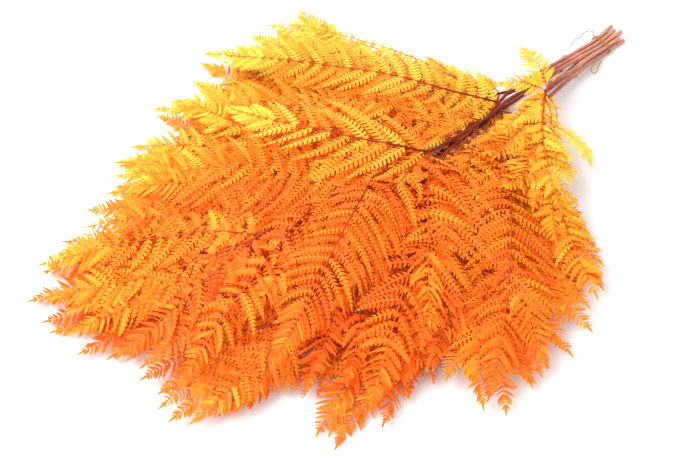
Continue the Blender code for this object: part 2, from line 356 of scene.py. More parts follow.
@dataclass(frozen=True)
class PlantTwine:
    """Thin two-ply plant-fibre twine: dry, yellow-brown, with no gloss.

    Attributes:
        stops: The colours of the fibres, the ones in shade first.
        fibre_mm: The width of a fibre.
        relief: How strongly the fibres show.
        relief_mm: How deep they are.
    """

    name: str = "two_ply_plant_twine"
    stops: tuple[tuple[float, str], ...] = ((0.3, "7E5524"), (0.62, "C9A052"))
    fibre_mm: float = 0.35
    relief: float = 0.6
    relief_mm: float = 0.15
    roughness: float = 0.9

    def material(self) -> bpy.types.Material:
        """Make the twine's material.

        Returns:
            A material with pale and dark fibres side by side.
        """
        made, tree, shader = start_material(self.name)
        place = add(tree, "ShaderNodeTexCoord", {}, {}).outputs["Object"]
        fibre = add(tree, "ShaderNodeTexNoise", {"Scale": 1.0 / (self.fibre_mm * MM), "Detail": 4.0},
                    {"Vector": place})
        colour = add(tree, "ShaderNodeValToRGB", {}, {"Fac": fibre.outputs["Fac"]})
        fill_ramp(colour, self.stops)
        raised = add(tree, "ShaderNodeBump", {"Strength": self.relief, "Distance": self.relief_mm * MM},
                     {"Height": fibre.outputs["Fac"]})
        tree.links.new(colour.outputs["Color"], shader.inputs["Base Color"])
        tree.links.new(raised.outputs["Normal"], shader.inputs["Normal"])
        shader.inputs["Roughness"].default_value = self.roughness
        return made


@dataclass(frozen=True)
class Heap:
    """The low heap the fronds are laid in. Every frond follows its own sheet of it.

    Attributes:
        centre: The heap's highest place.
        half: Its half length and half width.
        floor_gap: The height that the lowest sheet keeps.
        rim_step: The height from sheet to sheet at the rim.
        top_step: The same at the centre.
        steepness: How fast the heap falls from its centre.
        neck_step: What the stalks add to each step where they run into the foliage.
        neck_half: Half the width of that neck.
        neck_from: Where the neck starts to rise, in plan x.
        neck_over: The length over which it rises.
        reach: How far the foliage of the solids goes from the centre, at even angles.
        feet: The fronds that touch the floor, by level, and where they do.
        foot_reach: How far round a foot the sheet comes down.
        foot_height: How high a foot lies.
        painted_light_way: The plan direction in which painted light makes the leaf look yellower.
        outline: The outline in the photograph, as angles in degrees and distances.
        plain_tone: The tone at the centre.
        far_light_tone: What painted light on the far side adds to it; on the near side it takes as much
            away, as painted shade.
        rim_tone: What painted light at the rim adds.
        far_rim_tone: What painted light at the rim adds more on the far side.
        far_from: Where that starts, as a share of the half length.
        rim_from: Where the rim starts, as a share of the reach.
        rim_over: The share of the reach over which it grows.
    """

    centre: Point = (-375.0, 12.0)
    half: Point = (318.0, 286.0)
    floor_gap: float = 1.5
    rim_step: float = 1.4
    top_step: float = 11.0
    steepness: float = 1.9
    neck_step: float = 2.6
    neck_half: float = 42.0
    neck_from: float = -190.0
    neck_over: float = 70.0
    reach: tuple[float, ...] = (300, 250, 292, 256, 262, 318, 290, 262, 250, 266, 292, 268)
    feet: tuple[tuple[int, Point], ...] = ((0, (-490.0, 240.0)), (1, (-545.0, -168.0)))
    foot_reach: float = 75.0
    foot_height: float = 0.45
    painted_light_way: Point = (0.669, 0.743)
    outline: tuple[Point, ...] = (
        (0, 240), (22, 216), (46, 212), (53, 286), (61, 300), (82, 284), (96, 255), (135, 268),
        (143, 284), (150, 320), (166, 296), (180, 258), (189, 272), (196, 268), (210, 182),
        (217, 172), (225, 236), (240, 232), (248, 212), (255, 178), (263, 252), (272, 280),
        (307, 274), (322, 246), (338, 244), (346, 228))
    plain_tone: float = 0.32
    far_light_tone: float = 0.23
    rim_tone: float = 0.13
    far_rim_tone: float = 0.23
    far_from: float = -0.45
    rim_from: float = 0.3
    rim_over: float = 0.62

    def step(self, x: Number, y: Number) -> Number:
        """The height between one sheet and the next.

        Args:
            x: Plan x of the points.
            y: Plan y of the points.

        Returns:
            Heights in millimetres.
        """
        along = (x - self.centre[0]) / self.half[0]
        across = (y - self.centre[1]) / self.half[1]
        bell = np.exp(-self.steepness * (along * along + across * across))
        neck = np.exp(-(y / self.neck_half) ** 2) * smooth((x - self.neck_from) / self.neck_over)
        return self.rim_step + (self.top_step - self.rim_step) * bell + self.neck_step * neck

    def height(self, level: int, x: Number, y: Number) -> Number:
        """The height of a frond's sheet.

        Args:
            level: The frond's number, 0 for the lowest.
            x: Plan x of the points.
            y: Plan y of the points.

        Returns:
            Heights above the floor in millimetres.
        """
        z = self.floor_gap + (level + 0.5) * self.step(x, y)
        for foot, (foot_x, foot_y) in self.feet:
            if foot == level:
                away = np.hypot(x - foot_x, y - foot_y) / self.foot_reach
                z = mix(self.foot_height, z, smooth(away))
        return z

    def reach_at(self, x: Number, y: Number) -> Number:
        """How far the solid foliage goes from the heap's centre.

        Args:
            x: Plan x of the points to go towards.
            y: Plan y of the points to go towards.

        Returns:
            Distances in millimetres.
        """
        count = len(self.reach)
        angle = np.arctan2(y - self.centre[1], x - self.centre[0])
        turns = (angle / (2 * math.pi)) % 1.0 * count
        before = np.floor(turns).astype(int) % count
        reach = np.array(self.reach, float)
        return mix(reach[before], reach[(before + 1) % count], smooth(turns - np.floor(turns)))

    def pulled_in(self, start: np.ndarray, bend: np.ndarray, tip: np.ndarray,
                  slack: float) -> tuple[np.ndarray, np.ndarray]:
        """Pull an arm back where it leaves the foliage of the solids.

        Args:
            start: Where the arm leaves its midrib.
            bend: The point that pulls it into its bend.
            tip: Where it would end.
            slack: How far out it may end, as a share of the reach there.

        Returns:
            The arm's bend and its tip.
        """
        centre = np.array(self.centre)
        over = np.linalg.norm(tip - centre) / (float(self.reach_at(tip[0], tip[1])) * slack)
        if over > 1.0:
            tip = mix(centre, tip, 1.0 / over)
            bend = mix(start, mix(bend, tip, 0.15), min(1.0, 1.15 / over))
        return bend, tip

    def beyond(self, points: np.ndarray) -> np.ndarray:
        """How far plan points lie out.

        Args:
            points: Plan points.

        Returns:
            Distances from the heap's centre, where 1 is on the outline seen in the photograph.
        """
        x, y = points[..., 0] - self.centre[0], points[..., 1] - self.centre[1]
        degrees, edge = zip(*self.outline)
        return np.hypot(x, y) / np.interp(np.degrees(np.arctan2(y, x)), degrees, edge, period=360.0)

    def tone(self, x: np.ndarray, y: np.ndarray) -> np.ndarray:
        """Painted light and shade on the leaf's colour: yellower at the rim and on the far side, where
        light shines through the thin leaves, and a deeper orange on the near side and in the middle.

        Args:
            x: Plan x of the points.
            y: Plan y of the points.

        Returns:
            Places on the leaf's colour ramp.
        """
        along, across = x - self.centre[0], y - self.centre[1]
        # painted light: yellower towards the far side and the rim, and a deeper orange towards the near
        # side, as painted shade
        far = (along * self.painted_light_way[0] + across * self.painted_light_way[1]) / self.half[0]
        out = np.hypot(along, across) / self.reach_at(x, y)
        rim = self.rim_tone + self.far_rim_tone * smooth(far - self.far_from)
        return self.plain_tone + self.far_light_tone * far + rim * smooth((out - self.rim_from) / self.rim_over)


@dataclass(frozen=True)
class Arm:
    """One side arm of a frond, or its end: a bent line in the plan.

    Attributes:
        start: Where it leaves the midrib.
        bend: The point that pulls it into its bend.
        tip: Where it ends.
        side: 1 or -1 for the side of the midrib it grows on, 0 for the frond's end.
        lift: How far it lies above its sheet, as a share of the step there.
        free: Whether it may lie over the stalks and past the outline.
        stations: How many points its length is measured over.
    """

    start: np.ndarray
    bend: np.ndarray
    tip: np.ndarray
    side: int
    lift: float
    free: bool = False
    stations: int = 65

    def at(self, t: Number) -> np.ndarray:
        """Plan points at shares of the way."""
        t = np.asarray(t, float)[..., None]
        return mix(mix(self.start, self.bend, t), mix(self.bend, self.tip, t), t)

    def heading(self, t: float) -> float:
        """The plan direction at a share of the way, in radians."""
        way = mix(self.bend - self.start, self.tip - self.bend, t)
        return math.atan2(way[1], way[0])

    def lengths(self) -> np.ndarray:
        """The distance run along the arm at even shares of the way."""
        points = self.at(np.linspace(0.0, 1.0, self.stations))
        return np.concatenate(([0.0], np.cumsum(np.linalg.norm(np.diff(points, axis=0), axis=1))))


@dataclass(frozen=True)
class FrondPlan:
    """Where one frond forks and how it runs, with the courses of the arms that were seen.

    Attributes:
        level: The frond's number, 0 for the lowest.
        fork: Where the stalk becomes the midrib.
        bend: The point that pulls the midrib into its bend.
        tip: Where the frond ends.
        row: The row its stalk lies in under the twine, 0 for the lower.
        column: Its stalk's place in that row.
        arms: The bend and the tip of arms seen in the photograph, by pair and side.
        reach: How long the first arm of each side is, where it wasn't seen.
        pairs_at: Where the pairs of the solids grow, as shares of the midrib.
        end_at: Where the frond's end starts.
        fill_at: Where arms grow between them, and the pair that each follows.
        fill_scale: The length of those arms, as a share of the arms they follow.
        fill_tips: How far out the tip of such an arm may lie at the rim.
        rim_from: Where the rim starts, as a share of the outline.
        leafy_midrib: Whether leaflets grow on the midrib itself.
        extra: Further arms seen in the photograph: start, bend and tip.
        rim: Where arms were seen to end on the rim.
        lifts: The lifts that the arms of the solids take in turn.
        curl_course: The bend and the tip of the curled arm.
        opening: The angle between midrib and arm at the fork and at the frond's tip, in degrees.
        bow: How many degrees an arm starts wider and ends narrower than that.
        taper: The power by which the arms shorten towards the tip.
        turns: How many degrees wider an arm opens, from and to.
        stretches: Its length as a share of the rule's, from and to.
        slacks: How far out it may end as a share of the solids' reach, from and to.
        fill_shifts: How far along the midrib an arm in between is moved, from and to.
        fill_turns: How many degrees it is turned, from and to.
        fill_sizes: Its length as a share of those beside it, from and to.
        fill_lifts: The lifts it may take.
        rim_shares: Where an arm to the rim may leave the midrib, from and to.
        rim_angle: The angle to the midrib that it would like to have, in degrees.
        rim_length: The length that it would like to have.
        rim_weight: What a millimetre off that length counts, beside a degree.
        rim_bow: How far it bows, as a share of its length.
        rim_lifts: The lifts it may take.
    """

    level: int
    fork: Point
    bend: Point
    tip: Point
    row: float
    column: float
    arms: dict[tuple[int, int], tuple[Point, Point]] = field(default_factory=dict)
    reach: Point = (190.0, 190.0)
    pairs_at: tuple[float, ...] = (0.025, 0.22, 0.40, 0.55)
    end_at: float = 0.66
    fill_at: tuple[tuple[float, int], ...] = (
        (0.08, 0), (0.15, 0), (0.28, 1), (0.35, 1), (0.46, 2), (0.6, 3))
    fill_scale: float = 1.0
    fill_tips: Point = (0.86, 1.0)
    rim_from: float = 0.66
    leafy_midrib: bool = False
    extra: tuple[tuple[Point, Point, Point], ...] = ()
    rim: tuple[Point, ...] = ()
    lifts: tuple[float, ...] = (-1.0, 0.3, 1.0, -0.3, 0.65)
    curl_course: tuple[Point, Point] = ((-98.0, -6.0), (-80.0, 46.0))
    opening: Point = (60.0, 38.0)
    bow: Point = (7.0, 9.0)
    taper: float = 0.8
    turns: Point = (-4.0, 4.0)
    stretches: Point = (0.93, 1.07)
    slacks: Point = (0.95, 1.02)
    fill_shifts: Point = (-0.03, 0.03)
    fill_turns: Point = (-28.0, 28.0)
    fill_sizes: Point = (0.65, 1.05)
    fill_lifts: tuple[float, ...] = (-1.3, -0.7, 0.3, 1.0)
    rim_shares: Point = (0.06, 0.62)
    rim_angle: float = 38.0
    rim_length: float = 150.0
    rim_weight: float = 0.1
    rim_bow: float = 0.1
    rim_lifts: Place = (-0.7, 0.4, 1.1)

    def whole(self) -> Arm:
        """The midrib from the fork to the frond's tip."""
        return Arm(np.array(self.fork), np.array(self.bend), np.array(self.tip), 0, 0.0)

    def midrib(self, t: Number) -> np.ndarray:
        """Plan points of the midrib at shares of the way."""
        return self.whole().at(t)

    def side_arms(self, heap: Heap) -> list[Arm]:
        """The arms of the solids, drawn by the same seeded rule.

        Args:
            heap: The heap whose foliage the arms keep to.

        Returns:
            The side arms in pairs, base first, and the frond's own end.
        """
        rng = random.Random(SEED + self.level)
        whole, made = self.whole(), []
        for pair, share in enumerate(self.pairs_at):
            start = whole.at(share)
            ahead = whole.at(share + 0.02) - start
            ahead /= np.linalg.norm(ahead)
            for side in (1, -1):
                turn, stretch = rng.uniform(*self.turns), rng.uniform(*self.stretches)
                if (pair, side) in self.arms:
                    bend, tip = (np.array(point) for point in self.arms[pair, side])
                else:
                    length = self.reach[0 if side == 1 else 1] * (1.0 - share) ** self.taper * stretch
                    opening = mix(*self.opening, share) + turn
                    bend = start + turned(ahead, side * (opening + self.bow[0])) * length * 0.5
                    tip = start + turned(ahead, side * (opening - self.bow[1])) * length
                    bend, tip = heap.pulled_in(start, bend, tip, rng.uniform(*self.slacks))
                curled = (self.level, pair, side) == CURLED
                if curled:
                    bend, tip = (np.array(point) for point in self.curl_course)
                lift = self.lifts[len(made) % len(self.lifts)]
                made.append(Arm(start, bend, tip, side, lift, curled))
        tip = np.array(self.tip)
        bend = mix(np.array(self.bend), tip, self.end_at)
        made.append(Arm(whole.at(self.end_at), bend, tip, 0, self.lifts[len(made) % len(self.lifts)]))
        return made

    def rim_arm(self, tip: np.ndarray, rng: random.Random) -> Arm:
        """An arm that ends where one was seen on the rim.

        Args:
            tip: The plan point it ends at.
            rng: Draws its lift.

        Returns:
            The arm, which leaves the midrib where its angle and length are natural ones.
        """
        whole, least, best = self.whole(), math.inf, None
        for share in np.linspace(*self.rim_shares, 29):
            start = whole.at(share)
            way = tip - start
            angle = math.atan2(way[1], way[0]) - whole.heading(share)
            angle = (angle + math.pi) % (2 * math.pi) - math.pi
            off = self.rim_weight * abs(float(np.linalg.norm(way)) - self.rim_length)
            off += abs(abs(math.degrees(angle)) - self.rim_angle)
            if off < least:
                side = 1 if angle > 0 else -1
                bend = start + way * 0.5 + turned(way, 90.0 * side) * self.rim_bow
                least, best = off, Arm(start, bend, tip, side, rng.choice(self.rim_lifts))
        return best

    def fill_arms(self, heap: Heap, seen: list[Arm]) -> list[Arm]:
        """Arms between those of the solids, which close the frond.

        Args:
            heap: The heap whose outline the arms keep to.
            seen: The arms of the solids.

        Returns:
            The arms in between, base first, then the extra ones and those on the rim.
        """
        rng = random.Random(SEED * 53 + self.level)
        whole, centre, made = self.whole(), np.array(heap.centre), []
        for share, pair in self.fill_at:
            for side, offset in ((1, 0), (-1, 1)):
                start = whole.at(share + rng.uniform(*self.fill_shifts))
                after = seen[min(2 * pair + 2 + offset, len(seen) - 1)]
                before = after if (self.level, pair, side) == CURLED else seen[2 * pair + offset]
                turn = rng.uniform(*self.fill_turns)
                scale = rng.uniform(*self.fill_sizes) * self.fill_scale
                near = mix(before.bend - before.start, after.bend - after.start, 0.5)
                far = mix(before.tip - before.start, after.tip - after.start, 0.5)
                bend = start + turned(near, turn * 0.5) * scale
                tip = start + turned(far, turn) * scale
                out = float(heap.beyond(tip))
                if out > self.rim_from:
                    tip = mix(centre, tip, rng.uniform(*self.fill_tips) / out)
                made.append(Arm(start, bend, tip, side, rng.choice(self.fill_lifts)))
        for course in self.extra:
            start, bend, tip = (np.array(point) for point in course)
            made.append(Arm(start, bend, tip, 1, 0.3, self.leafy_midrib))
        made += [self.rim_arm(np.array(tip, float), rng) for tip in self.rim]
        if self.leafy_midrib:
            made.append(self.midrib_arm())
        return made

    def midrib_arm(self) -> Arm:
        """The midrib as an arm of its own, for a frond whose leaflets grow on it."""
        low, middle, high = (self.midrib(share) for share in (0.04, 0.36, 0.7))
        return Arm(low, middle * 2 - (low + high) / 2, high, 0, 2.0)


@dataclass
class Cover:
    """A count of how many layers of leaf lie over each spot of the plan.

    Attributes:
        cell: The edge of a spot.
        corner: The plan point where the first spot starts.
        size: How many spots there are each way.
    """

    cell: float = 6.0
    corner: Point = (-760.0, -340.0)
    size: tuple[int, int] = (150, 120)

    def __post_init__(self) -> None:
        """Start with bare ground."""
        self.layers = np.zeros(self.size)

    def cells(self, points: np.ndarray) -> tuple[np.ndarray, np.ndarray]:
        """The cells that plan points fall in."""
        found = ((points[:, :2] - self.corner) / self.cell).astype(int)
        return (np.clip(found[:, 0], 0, self.size[0] - 1), np.clip(found[:, 1], 0, self.size[1] - 1))

    def add(self, points: np.ndarray, area: float) -> None:
        """Spread a leaflet's area over the cells of its points."""
        np.add.at(self.layers, self.cells(points), area / (len(points) * self.cell ** 2))

    def depth(self, points: np.ndarray) -> float:
        """How many layers lie over plan points, where a quarter of them have fewer."""
        return float(np.sort(self.layers[self.cells(points)])[len(points) // 4])


@dataclass(frozen=True)
class Edge:
    """The form of a leaflet's edge.

    Attributes:
        sinus: How far out the gap between two lobes starts, as a share of the lobe.
        half: Half a lobe's width, as a share of the distance between lobes.
        shoulder: How far out a lobe's rear corner lies, as a share of the lobe.
        belly: The power that keeps the leaflet wide on its way to the tip.
        roundness: The power that rounds its tip.
        root: Its width where it starts, as a share of the full one.
    """

    sinus: float
    half: float
    shoulder: float
    belly: float
    roundness: float
    root: float


class Cut(Enum):
    """How deep a leaflet is cut."""

    LOBED = Edge(0.13, 0.31, 0.84, 1.6, 0.8, 0.6)
    TOOTHED = Edge(0.5, 0.34, 0.88, 2.6, 0.6, 1.0)
    ENTIRE = Edge(0.88, 0.34, 0.97, 2.6, 0.6, 1.0)


@dataclass
class LeafletShape:
    """A flat pattern of one leaflet: pairs of round lobes along a rib, as a closed thin shell.

    Its x counts lobes along the rib, its y is the share of the way out to a lobe's
    end and its z is 1 on the upper rib, -1 on the lower rib and 0 on the outline.

    Attributes:
        lobes: How many pairs of lobes it has.
        cut: How deep it is cut.
        fifths: How many steps the outline takes for a lobe.
        neck_rise: How much further out a lobe's neck lies than the gap beside it.
        back_slope: How far a lobe's rear side leans forward, in lobes.
    """

    lobes: int
    cut: Cut
    fifths: int = 5
    neck_rise: float = 0.04
    back_slope: float = 0.04
    made: ClassVar[dict[tuple[int, Cut], "LeafletShape"]] = {}

    def __post_init__(self) -> None:
        """Model the pattern."""
        self.mesh = bpy.data.meshes.new(f"leaflet_{self.cut.name.lower()}_{self.lobes}")
        bm = bmesh.new()
        bmesh.ops.create_grid(bm, x_segments=self.lobes, y_segments=2, size=1.0)
        outline = [e for e in bm.edges if all(abs(v.co.y) > 0.5 for v in e.verts)]
        bmesh.ops.subdivide_edges(bm, edges=outline, cuts=self.fifths - 1)
        for v in bm.verts:
            v.co = self.pattern(round((v.co.x + 1.0) / 2.0 * self.fifths * self.lobes), round(v.co.y))
        self.close(bm)
        bm.to_mesh(self.mesh)
        bm.free()
        size = len(self.mesh.vertices)
        flat = np.empty(size * 3, np.float32)
        self.mesh.vertices.foreach_get("co", flat)
        self.points = flat.reshape(size, 3).astype(float)

    def pattern(self, fifth: int, row: int) -> Place:
        """Where a point of the grid goes in the pattern.

        Args:
            fifth: Its place along the rib in fifths of a lobe.
            row: 0 on the rib, 1 or -1 on the outline.

        Returns:
            The point's place in the pattern.
        """
        edge = self.cut.value
        lobe, step = divmod(fifth, self.fifths)
        if fifth in (0, self.fifths * self.lobes):
            return (lobe, 0.0, 0.0)
        if row == 0:
            return (lobe, 0.0, 1.0)
        back, front, neck = 0.5 - edge.half, 0.5 + edge.half, edge.sinus + self.neck_rise
        corners = ((0.0, edge.sinus), (back, neck), (back + self.back_slope, edge.shoulder),
                   (front, 1.0), (front, neck))
        along, out = corners[step]
        return (lobe + along, row * out, 0.0)

    def close(self, bm: bmesh.types.BMesh) -> None:
        """Close the upper face with a lower one and shade it smooth, but for its edge.

        Args:
            bm: The mesh that holds the upper face.
        """
        under = bmesh.ops.duplicate(bm, geom=bm.verts[:] + bm.edges[:] + bm.faces[:])["geom"]
        bmesh.ops.reverse_faces(bm, faces=[f for f in under if isinstance(f, bmesh.types.BMFace)])
        for v in under:
            if isinstance(v, bmesh.types.BMVert):
                v.co.z = -v.co.z
        bmesh.ops.remove_doubles(bm, verts=bm.verts[:], dist=0.001)
        for e in bm.edges:
            e.smooth = any(abs(v.co.z) > 0.5 for v in e.verts)
        for f in bm.faces:
            f.smooth = True

    @classmethod
    def of(cls, lobes: int, cut: Cut) -> "LeafletShape":
        """The pattern with so many lobes and that cut, which is made once.

        Args:
            lobes: How many pairs of lobes it has.
            cut: How deep it is cut.

        Returns:
            The pattern.
        """
        if (lobes, cut) not in cls.made:
            cls.made[lobes, cut] = cls(lobes, cut)
        return cls.made[lobes, cut]


@dataclass(frozen=True)
class Leaflet:
    """One leaflet in its place on an arm.

    Attributes:
        base: Where it grows from its arm.
        heading: The plan direction it starts in, in radians.
        length: Its length.
        half_width: Half its width at the widest lobes.
        bend: How far it turns towards its arm's tip, in radians.
        roll: How far it leans to one side where it starts.
        twist: How much more it leans at its tip.
        rise: How much it rises, as a share of its length.
        droop: How much its tip hangs, as a share of its length.
        lift: How far its arm lies above the frond's sheet.
        tone: Its own place on the leaf's colour ramp.
        lobe_mm: The distance between lobes.
        crowding: The power that sets the last lobes closer together.
        slant: How far the lobes lean towards the tip.
        tip_over: How far past the rib's end the last lobes may lean.
        thick: The height of its rib over its edges.
        under: How far the lower face lies below the edges.
        curl: How far the edges of a lobe curl down.
        sag: How far the lobes' ends sag, as a share of their length.
        tip_tone: What the tip adds to the tone.
        end_tone: What the lobes' ends add to it.
        least_height: The lowest height it may take.
        most_height: The highest.
        most_tilt: The most it may lean, in radians.
        entire_under: The length under which a leaflet isn't cut.
        toothed_under: The length under which it is only toothed.
        fullness: The area it covers, as a share of length times half width.
        root_rise: How fast it reaches its full width from where it starts.
        curl_rise: How near its rib the lobes start to curl.
    """

    base: np.ndarray
    heading: float
    length: float
    half_width: float
    bend: float
    roll: float
    twist: float
    rise: float
    droop: float
    lift: float
    tone: float
    lobe_mm: float = 4.2
    crowding: float = 1.12
    slant: float = 0.45
    tip_over: float = 1.03
    thick: float = 0.2
    under: float = 0.08
    curl: float = 0.5
    sag: float = 0.2
    tip_tone: float = 0.1
    end_tone: float = 0.05
    least_height: float = 0.45
    most_height: float = 94.0
    most_tilt: float = 1.0
    entire_under: float = 22.0
    toothed_under: float = 31.0
    fullness: float = 1.2
    root_rise: float = 5.0
    curl_rise: float = 3.0

    def shape(self) -> LeafletShape:
        """The flat pattern for this length.

        Returns:
            A pattern that is cut deeper, and into more lobes, the longer the leaflet is.
        """
        if self.length < self.entire_under:
            return LeafletShape.of(2, Cut.ENTIRE)
        cut = Cut.TOOTHED if self.length < self.toothed_under else Cut.LOBED
        return LeafletShape.of(int(round(self.length / self.lobe_mm)), cut)

    def area(self) -> float:
        """About how much it covers, in square millimetres."""
        return self.length * self.half_width * self.fullness

    def ridge(self, count: int) -> np.ndarray:
        """Plan points along its rib.

        Args:
            count: How many.

        Returns:
            The points.
        """
        share = np.linspace(0.1, 0.95, count)
        way = self.heading + self.bend * share * 0.5
        return self.base + (np.stack((np.cos(way), np.sin(way)), 1) * (self.length * share)[:, None])

    def widths(self, edge: Edge, share: np.ndarray) -> np.ndarray:
        """Half the leaflet's width along its rib.

        Args:
            edge: The form of its edge.
            share: Shares of the way along the rib.

        Returns:
            The half width at each share.
        """
        tapered = self.half_width * (1.0 - share ** edge.belly) ** edge.roundness
        return tapered * mix(edge.root, 1.0, smooth(share * self.root_rise))

    def points(self, heap: Heap, level: int) -> tuple[np.ndarray, np.ndarray, np.ndarray]:
        """Bend the flat pattern into its place.

        Args:
            heap: The heap the leaflet lies in.
            level: The frond's number.

        Returns:
            Plan points in millimetres, and the tone and rim value of each.
        """
        shape = self.shape()
        lobe, sideways, face = shape.points.T
        share = 1.0 - (1.0 - lobe / shape.lobes) ** self.crowding
        width = self.widths(shape.cut.value, share)
        out = np.abs(sideways)
        along = np.clip(share + out * width * self.slant / self.length, 0.0, self.tip_over)
        tilt = np.clip(self.roll + self.twist * along, -self.most_tilt, self.most_tilt)
        across = sideways * width * np.cos(tilt)
        # the rib is an arc of a circle, and the lobes stand across it
        turn = self.bend * along
        radius = self.length / self.bend
        ahead = radius * np.sin(turn) - across * np.sin(turn)
        aside = radius * (1.0 - np.cos(turn)) + across * np.cos(turn)
        cosine, sine = heading_vector(self.heading)
        x = self.base[0] + ahead * cosine - aside * sine
        y = self.base[1] + ahead * sine + aside * cosine
        off_axis = np.abs((lobe % 1.0) - 0.5) * 2.0 * np.minimum(1.0, out * self.curl_rise)
        z = heap.height(level, x, y) + self.lift
        z = z + self.length * (self.rise * along - self.droop * along * along)
        z = z + sideways * width * np.sin(tilt)
        z = z - self.curl * off_axis - self.sag * out * width
        z = np.clip(z, self.least_height, self.most_height)
        z = z + np.where(face > 0.5, self.thick, np.where(face < -0.5, -self.under, 0.0))
        # heap.tone adds painted light and shade: paler at the heap's rim and far side, a deeper orange in
        # its middle and near side
        tone = self.tone + heap.tone(x, y) + self.tip_tone * along + self.end_tone * out
        return np.stack((x, y, z), 1), tone, out


@dataclass(frozen=True)
class ArmStyle:
    """How the leaflets of one arm look.

    Attributes:
        spacing: The distance between pairs of leaflets 60 mm long.
        longest: The longest a leaflet grows.
        taper: How long a leaflet is, as a share of the way that is left to the arm's tip.
        width: Its width, as a share of the usual one.
        opening: Its angle to the arm at the base and at the tip, in degrees.
        lobe_mm: The distance between its lobes.
        meet: How far it may grow towards the next arm, as a share of the gap.
        tone: The arm's own place on the leaf's colour ramp.
        loose: How irregular the leaflets are.
        lift: How far the arm lies above its sheet, or 0 for the lift of its course.
        rib: The radius of the arm's rib.
        rib_tone: The rib's place on the stalk's colour ramp.
    """

    spacing: float = 14.0
    longest: float = 66.0
    taper: float = 0.43
    width: float = 1.0
    opening: Point = (58.0, 38.0)
    lobe_mm: float = 4.2
    meet: float = 0.66
    tone: float = 0.0
    loose: float = 1.0
    lift: float = 0.0
    rib: float = 0.8
    rib_tone: float = 0.35

    @staticmethod
    def drawn(rng: random.Random) -> "ArmStyle":
        """A style for an arm whose own one can't be told from the photograph.

        Args:
            rng: Draws it.

        Returns:
            The style.
        """
        return ArmStyle(
            spacing=rng.uniform(11.5, 16.0), longest=rng.uniform(56.0, 74.0),
            width=rng.uniform(0.86, 1.06), opening=(rng.uniform(50, 64), rng.uniform(42, 52)),
            lobe_mm=rng.uniform(3.9, 4.6), tone=rng.uniform(-0.14, 0.13),
            loose=rng.uniform(0.9, 2.2))


# the styles of the arms that show best, by the frond's level and the arm's number
STYLES = {
    (7, 1): ArmStyle(
        spacing=19.0, longest=96.0, taper=0.52, width=0.98, opening=(44.0, 34.0), lobe_mm=4.9,
        meet=0.9, tone=0.28, loose=0.5, lift=2.2, rib=1.25, rib_tone=0.0),
    (7, 2): ArmStyle(
        spacing=11.0, longest=82.0, taper=0.44, width=0.74, opening=(56.0, 42.0), lobe_mm=3.7,
        meet=0.72, loose=0.45, lift=2.0, rib=1.1, rib_tone=0.1),
    (6, 0): ArmStyle(
        spacing=13.0, longest=62.0, taper=0.42, width=0.9, opening=(62.0, 40.0), lobe_mm=4.1,
        tone=-0.02, loose=1.1, lift=1.8, rib=1.3, rib_tone=0.1),
    (6, 1): ArmStyle(
        spacing=15.0, longest=62.0, taper=0.42, width=0.95, opening=(60.0, 40.0), lobe_mm=4.3,
        tone=0.1, loose=0.8, lift=1.8, rib=1.1, rib_tone=0.05),
    (8, 0): ArmStyle(
        spacing=9.0, longest=34.0, taper=0.42, width=0.9, opening=(62.0, 44.0), lobe_mm=4.0,
        meet=0.95, tone=0.06, loose=0.7, lift=1.0, rib_tone=0.5),
    (8, 23): ArmStyle(
        spacing=9.0, longest=30.0, taper=0.5, width=0.9, opening=(60.0, 42.0), meet=0.9,
        loose=0.9, lift=1.2, rib_tone=0.4),
    (8, 24): ArmStyle(
        spacing=6.0, longest=11.0, taper=0.4, opening=(62.0, 50.0), meet=0.95, tone=0.25,
        loose=0.7, lift=1.0, rib=0.7, rib_tone=0.7),
}


@dataclass(frozen=True)
class Growth:
    """What the irregular sizes of leaflets are drawn from.

    A span holds the least and the greatest value, a spread the middle and the
    deviation of a bell curve. Angles are in degrees.

    Attributes:
        arm_roll: Span of how far all leaflets of an arm lean to one side.
        phase: Span of where the arm's slow sway starts, in radians.
        opening: Spread of what is added to a leaflet's angle to its arm.
        length: Span of its length, as a share of the full one.
        forward: Span of how far it bends towards the arm's tip.
        hook: Spread of how much more some of them bend.
        roll: Spread of how far it leans towards the arm's tip.
        twist: Spread of how much more it leans at its own tip.
        rise: Span of how much it rises, as a share of its length.
        droop: Span of how much its tip hangs, as a share of its length.
        width: Span of its width, as a share of the usual one.
        tone: Spread of its tone.
    """

    arm_roll: Point = (-12.0, 12.0)
    phase: Point = (0.0, 6.0)
    opening: Point = (0.0, 5.0)
    length: Point = (0.86, 1.1)
    forward: Point = (10.0, 36.0)
    hook: Point = (-0.4, 0.8)
    roll: Point = (-10.0, 13.0)
    twist: Point = (0.0, 24.0)
    rise: Point = (0.0, 0.16)
    droop: Point = (0.02, 0.22)
    width: Point = (0.9, 1.08)
    tone: Point = (0.0, 0.1)


